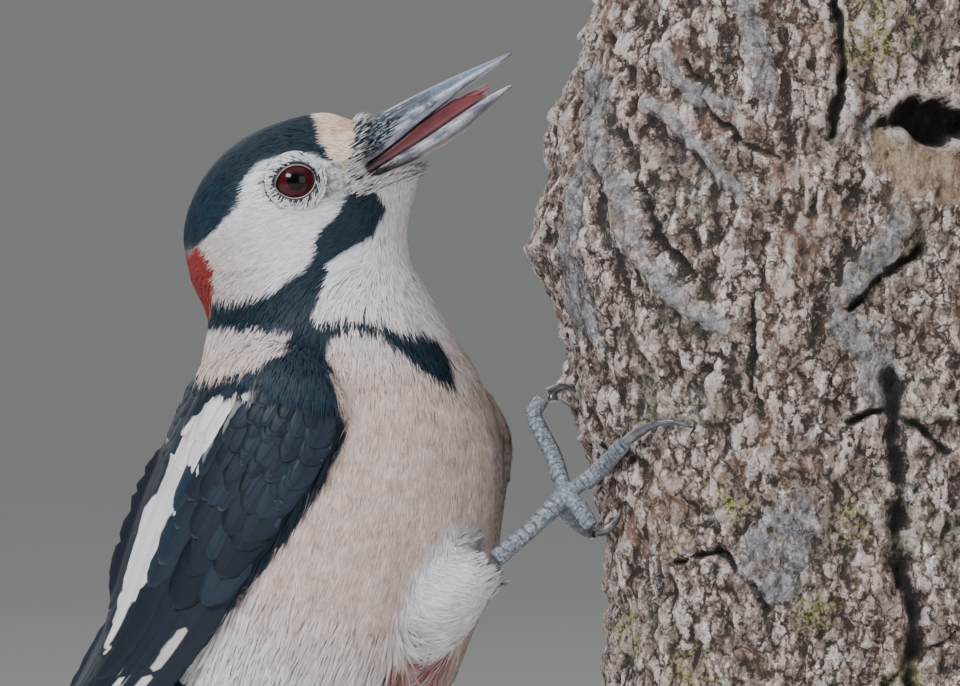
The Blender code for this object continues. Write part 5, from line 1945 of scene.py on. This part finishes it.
def makeFaceBristles():
    # feathers along the edge of the face: a soft forehead, stiff nostril bristles, a loose chin
    line = unit(np.array(billShape["line"]))
    above = np.array((-line[2], 0.0, line[0]))

    def keep(points):
        return rise(bristles["band"], bristles["band"] - 0.6, alongEdge(points)[1])

    roots, normals = surfaceSamples(skin, keep, bristles["face"])
    place, _ = alongEdge(roots)
    count = len(roots)
    side = np.sign(roots[:, 1])
    brow = rise(1.25, 0.75, place)
    chin = rise(2.6, 3.05, place)
    lore = (1 - brow) * (1 - chin)
    fan = rng.normal(0.0, 0.09, count)
    forward = 0.62 * brow + 1.0 * lore + 0.95 * chin
    upward = 0.22 * brow - 0.04 * chin + fan
    inward = -side * (0.10 * brow + 0.42 * lore + 0.16 * chin) * np.minimum(np.abs(roots[:, 1]) / 4.5, 1.3)
    lies = line * forward[:, None] + above * upward[:, None]
    lies[:, 1] += inward
    lies = unit(lies + rng.normal(0.0, 0.07, (count, 3)))
    facing = unit(normals - lies * np.sum(normals * lies, axis=1, keepdims=True) * 0.9)
    lengths = (rng.uniform(1.3, 2.2, count) * brow + rng.uniform(1.6, 3.0, count) * lore
               + rng.uniform(1.3, 2.9, count) * chin)
    widths = rng.uniform(0.12, 0.20, count) * (1 + 0.4 * brow)
    chance = np.interp(place, (1.0, 1.2, 1.5, 1.9, 2.4), (0.1, 0.62, 0.55, 0.2, 0.3)) * lore + 0.10 * chin
    black = (rng.random(count) < chance) * 1.0
    spare = np.zeros(count)
    marks = {"black": black, "red": spare, "tan": brow * 0.8, "pink": chin * 0.3,
             "brown": rng.random(count) * 0.4 * (1 - brow), "grey": rng.random(count) * 0.8 * (1 - brow)}
    growSlivers("bristlesFace", roots, facing, lies, lengths, widths, rng.uniform(0.02, 0.3, count), spare,
                None, marks, True)


def makeBillBristles(upper, lower):
    # fine bristles pressed on the base of both mandibles
    line = unit(np.array(billShape["line"]))
    base = np.array(billShape["base"])
    above = np.array((-line[2], 0.0, line[0]))
    for item, share, part in ((upper, 0.74, "upper"), (lower, 0.26, "lower")):
        def keep(points):
            offset = points - base
            along, height = offset @ line, offset @ above
            heights, reaches = zip(*bristles[part])
            reach = np.interp(height, heights, reaches)
            return rise(reach + 0.6, reach - 2.2, along) * (np.abs(points[:, 1]) > 0.5) * (along > -1.5)

        count = int(bristles["bill"] * share)
        roots, normals = surfaceSamples(item, keep, count)
        lies = line + above * rng.normal(0.02, 0.06, count)[:, None]
        lies = unit(lies - normals * np.sum(lies * normals, axis=1, keepdims=True))
        spare = np.zeros(count)
        black = (rng.random(count) < (0.8 if part == "upper" else 0.45)) * 1.0
        marks = {"black": black, "red": spare, "tan": spare, "pink": spare,
                 "brown": rng.random(count) * 0.3, "grey": 0.3 + rng.random(count) * 0.7}
        name = "bristles" + part.title()
        growSlivers(name, roots, normals, lies, rng.uniform(1.2, 2.6, count), rng.uniform(0.08, 0.15, count),
                    rng.uniform(0.03, 0.14, count), rng.normal(0.0, 0.08, count), treeOf(item), marks)


makeFaceBristles()
makeBillBristles(*billPieces)


mouth = {
    "upper": ((-19.0, 26.4), (-14.6, 29.6), (-9.3, 34.1), (-4.2, 38.2), (0.4, 41.4)),
    "lower": ((-19.0, 24.6), (-15.4, 27.0), (-9.4, 30.9), (-3.4, 35.2), (0.8, 38.2)),
    "fill": (1.05, 1.05, 1.02, 0.86, 0.12),
    "half": (5.6, 4.3, 3.2, 2.3, 1.3),
    "recess": 0.45,
}


def makeMouth():
    # the wet lining between the mandibles: red toward the front, darkened to near black at the gape as
    # painted shade
    paint = Paint("mouthPaint")
    soft = paint.noise(2.6, 3.0)
    fine = paint.noise(0.6, 3.0)
    _, _, depth, _ = paint.parts("lining")
    # painted shade: near black at the gape, red toward the front
    colour = paint.blend(depth, (0.020, 0.003, 0.006), (0.21, 0.042, 0.055))
    colour = paint.blend(soft.ramp(0.4, 0.7) * 0.5, colour, (0.085, 0.014, 0.022))
    material = paint.finish(Base_Color=colour, Roughness=0.3, Normal=paint.bump(soft + fine * 0.4, 0.5, 0.2))
    paint.shader.inputs["Coat Weight"].default_value = 0.4
    paint.shader.inputs["Coat Roughness"].default_value = 0.15
    steps = 26
    share = np.linspace(0, 1, len(mouth["half"]))
    places = np.linspace(0, 1, steps)
    upper = np.stack([np.interp(places, share, line) for line in zip(*mouth["upper"])], axis=-1)
    lower = np.stack([np.interp(places, share, line) for line in zip(*mouth["lower"])], axis=-1)
    fill = np.interp(places, share, mouth["fill"])
    half = np.interp(places, share, mouth["half"]) - mouth["recess"]
    top = lower + (upper - lower) * fill[:, None]
    around = 20
    vertices, depths = [], []
    for index in range(steps):
        for step in range(around):
            turn = 2 * math.pi * step / around
            # a rounded slab with hollow cheeks
            tall = (1 + math.sin(turn)) / 2
            spot = lower[index] + (top[index] - lower[index]) * tall
            pinch = 1 - 0.12 * math.sin(math.pi * tall)
            across = math.copysign(abs(math.cos(turn)) ** 0.35, math.cos(turn)) * half[index] * pinch
            vertices.append((spot[0], across, spot[1]))
            depths.append((0.0, 0.0, places[index], 1.0))
    number = np.arange(steps * around).reshape(steps, around)
    after = np.roll(number, -1, axis=1)
    quads = np.stack((number[:-1], number[1:], after[1:], after[:-1]), axis=-1).reshape(-1, 4)
    item = arrayMesh("mouthLining", toWorld(np.array(vertices)), (), quads, material)
    giveColours(item, "lining", np.array(depths))
    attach(item, "root")


makeMouth()
print("bill made")


def makeShinFringe(side):
    # loose tufts round the ankle that hang over the top of the bare shank
    line = np.array(shins[side])
    way = unit(line[2] - line[1])
    hubWay = unit(np.array(feet[side]) - line[2])
    count = 900
    share = 1.04 - 0.62 * rng.random(count) ** 1.4
    middle = line[1] + (line[2] - line[1]) * share[:, None]
    turn = rng.random(count) * 2 * math.pi
    one = unit(np.cross(way, (0.0, 0.0, 1.0)))
    two = np.cross(way, one)
    out = one * np.cos(turn)[:, None] + two * np.sin(turn)[:, None]
    flat, normals = nearest(skinTree, toWorld(middle + out * 6.0))
    roots = toLayout(flat)
    lies = way * 0.75 + hubWay * 0.55 * share[:, None] + (0.0, 0.0, -0.22)
    lies = unit(lies + rng.normal(0.0, 0.10, (count, 3)))
    lies = unit(lies - normals * np.sum(lies * normals, axis=1, keepdims=True) * 0.75)
    lengths = rng.uniform(2.2, 4.2, count) * np.interp(share, (0.4, 1.04), (1.15, 0.62))
    spare = np.zeros(count)
    marks = {"black": (rng.random(count) < 0.02) * 1.0, "red": spare, "tan": spare, "pink": spare + 0.2,
             "brown": rng.random(count) * 0.2, "grey": rng.random(count) * 0.6}
    growSlivers("shinFringe" + side.title(), roots, normals, lies, lengths, rng.uniform(0.2, 0.36, count),
                rng.uniform(0.0, 0.35, count), spare, None, marks, True)


for shinSide in shins:
    makeShinFringe(shinSide)


footShape = {"grow": 0.10, "voxel": 0.24, "smoothing": 5, "toeScute": 1.05, "shankScute": 1.5, "seam": 0.09}


def footPaint():
    paint = Paint("footPaint")
    seam, shade, joint, _ = paint.parts("scutes")
    fine = paint.noise(0.5, 4.0, 0.62)
    mid = paint.noise(1.8, 3.0)
    plates = paint.cells(0.62, "DISTANCE_TO_EDGE")
    base = (mid * 0.8 + shade * 0.4 - 0.1).clamp()
    colour = paint.blend(base, (0.070, 0.082, 0.102), (0.225, 0.255, 0.292))
    colour = paint.blend(fine.ramp(0.52, 0.72) * 0.7, colour, (0.50, 0.525, 0.55))
    colour = paint.blend(fine.ramp(0.50, 0.34) * 0.7, colour, (0.030, 0.034, 0.042))
    colour = paint.blend(seam.ramp(0.3, 0.95) * mid.ramp(0.25, 0.55) * 0.85, colour, (0.016, 0.018, 0.022))
    grit = plates.ramp(0.0, 0.12)
    colour = paint.blend((1 - grit) * (1 - joint) * 0.35, colour, (0.06, 0.065, 0.075))
    normal = paint.bump(grit * 0.5 * (1 - joint) + fine * 0.6, 0.7, 0.14)
    material = paint.finish(Base_Color=colour, Roughness=0.46 + fine * 0.25, Normal=normal)
    paint.shader.inputs["Specular IOR Level"].default_value = 0.45
    return material


def clawPaint():
    paint = Paint("clawPaint")
    along, _, _, _ = paint.parts("claw")
    streak = paint.noise(1.2, 4.0, 0.6, paint.stretch(paint.place(), (0.5, 1.0, 1.0)))
    colour = paint.blend(streak.ramp(0.3, 0.7), (0.020, 0.020, 0.024), (0.085, 0.082, 0.088))
    colour = paint.blend(along.ramp(0.25, 0.0) * 0.6, colour, (0.20, 0.20, 0.21))
    normal = paint.bump(streak, 0.3, 0.06)
    material = paint.finish(Base_Color=colour, Roughness=0.24 + streak * 0.14, Normal=normal)
    paint.shader.inputs["Coat Weight"].default_value = 0.35
    paint.shader.inputs["Coat Roughness"].default_value = 0.18
    return material


def makeFoot(side, material):
    hub = np.array(feet[side])
    limbs = ["tarsus_" + side] + ["toe_" + side + "_" + toe for toe in ("inner", "middle", "outer", "hind")]
    item = joinedCopy("foot" + side.title(), limbs, footShape["grow"])
    # a ball of flesh where the toes meet
    whole = bmesh.new()
    whole.from_mesh(item.data)
    ball = bmesh.ops.create_icosphere(whole, subdivisions=3, radius=0.00172)
    for vertex in ball["verts"]:
        vertex.co += Vector(toWorld(hub))
    whole.to_mesh(item.data)
    whole.free()
    # bridges from the ball to each limb's near end
    for limb in limbs:
        points = toLayout(meshPoints(frame["nodes"][limb]))
        away = np.linalg.norm(points - hub, axis=1)
        close = points[away < away.min() + 1.2].mean(axis=0)
        bridge(item, hub, close + unit(close - hub) * 0.9, 1.15 if limb.startswith("toe") else 1.3)
    remeshed(item, footShape["voxel"], footShape["smoothing"])
    item.data.materials.append(material)
    points = toLayout(meshPoints(item))
    normals = meshNormals(item)
    gaps = []
    for limb in limbs:
        flat, _ = nearest(treeOf(frame["nodes"][limb]), toWorld(points))
        gaps.append(np.linalg.norm(toLayout(flat) - points, axis=1))
    owner = np.argmin(np.array(gaps), axis=0)
    away = np.linalg.norm(points - hub, axis=1)
    period = np.where(owner == 0, footShape["shankScute"], footShape["toeScute"])
    wander = layeredNoise(points, 1.8, 3, 81) * 0.55
    share = ((away + wander) / period) % 1.0
    seam = np.exp(-(np.minimum(share, 1 - share) / 0.14) ** 2)
    # the scutes run over the top and front of each limb, small grit covers the rest
    hand = -0.6 if side == "right" else 0.6
    outer = rise(-0.25, 0.35, normals @ np.array((-0.75, hand, 0.5)))
    seam = seam * outer * rise(1.2, 2.4, away)
    swell = np.sin(share * math.pi) * 0.04 * outer
    height = swell - seam * footShape["seam"] + layeredNoise(points, 0.8, 2, 91) * 0.05
    points = points + normals * height[:, None]
    setPoints(item, toWorld(points))
    shade = layeredNoise(points, 3.0, 2, 97) * 0.5 + 0.5
    giveColours(item, "scutes", np.stack((seam, shade, outer, np.ones(len(points))), axis=-1))
    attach(item, "root")
    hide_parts(*limbs)
    claws = ["claw_" + side + "_" + toe for toe in ("inner", "middle", "outer", "hind")]
    for claw in claws:
        words = claw.split("_")
        horn = joinedCopy("claw" + words[1].title() + words[2].title(), (claw,), 0.0)
        places = toLayout(meshPoints(horn))
        near = np.linalg.norm(places - hub, axis=1)
        base = places[near < near.min() + 0.8].mean(axis=0)
        tip = places[np.argmax(np.linalg.norm(places - base, axis=1))]
        # the root of the claw sits in a sheath
        bridge(horn, base + (hub - base) * 0.05, base, 0.8)
        remeshed(horn, 0.15, 3)
        horn.data.materials.append(clawMaterial)
        places = toLayout(meshPoints(horn))
        along = np.linalg.norm(places - base, axis=1) / max(np.linalg.norm(tip - base), 0.1)
        along = np.clip(along, 0.0, 1.0)
        giveColours(horn, "claw", np.stack((along, along, along, np.ones(len(along))), axis=-1))
        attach(horn, "root")
        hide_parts(claw)


def bridge(item, start, end, radius):
    # a short round bar added to a mesh before it is remeshed
    way = end - start
    length = np.linalg.norm(way)
    if length < 1e-3:
        return
    aim = Vector(way).to_track_quat("Z", "Y").to_matrix().to_4x4()
    aim.translation = Vector(toWorld((start + end) / 2))
    whole = bmesh.new()
    whole.from_mesh(item.data)
    bmesh.ops.create_cone(whole, cap_ends=True, segments=20, radius1=radius * 0.001, radius2=radius * 0.001,
                          depth=length * 0.001, matrix=aim)
    whole.to_mesh(item.data)
    whole.free()


clawMaterial = clawPaint()
footMaterial = footPaint()
for footSide in feet:
    makeFoot(footSide, footMaterial)
print("feet made")


stand = {
    "wood": ((0.085, 0.042, 0.022), (0.235, 0.128, 0.066)),
    "pores": (0.035, 0.018, 0.010),
    "steel": ((0.46, 0.455, 0.45), (0.62, 0.615, 0.61)),
}


def makeStand():
    paint = Paint("boardPaint")
    stretched = paint.stretch(paint.place(), (0.12, 1.0, 1.0))
    grain = paint.noise(5.0, 5.0, 0.6, stretched)
    pores = paint.noise(0.9, 3.0, 0.6, stretched)
    colour = paint.blend(grain.ramp(0.32, 0.68), *stand["wood"])
    colour = paint.blend(pores.ramp(0.58, 0.72) * 0.6, colour, stand["pores"])
    normal = paint.bump(grain * 0.3 + pores * 0.6, 0.35, 0.15)
    board = paint.finish(Base_Color=colour, Roughness=0.36 + pores * 0.2, Normal=normal)
    paint.shader.inputs["Coat Weight"].default_value = 0.3
    paint.shader.inputs["Coat Roughness"].default_value = 0.2
    steel = Paint("steelPaint")
    turned = steel.noise(0.7, 3.0, 0.6, steel.stretch(steel.place(), (0.2, 0.2, 1.0)))
    tone = steel.blend(turned, *stand["steel"])
    worn = steel.bump(turned, 0.2, 0.03)
    bright = steel.finish(Base_Color=tone, Roughness=0.24 + turned * 0.16, Normal=worn)
    steel.shader.inputs["Metallic"].default_value = 1.0
    for node, material in (("stand_base", board), ("stand_rod_1", bright), ("stand_rod_2", bright)):
        mesh = frame["nodes"][node].data
        mesh.materials.clear()
        mesh.materials.append(material)


makeStand()
print("stand painted")
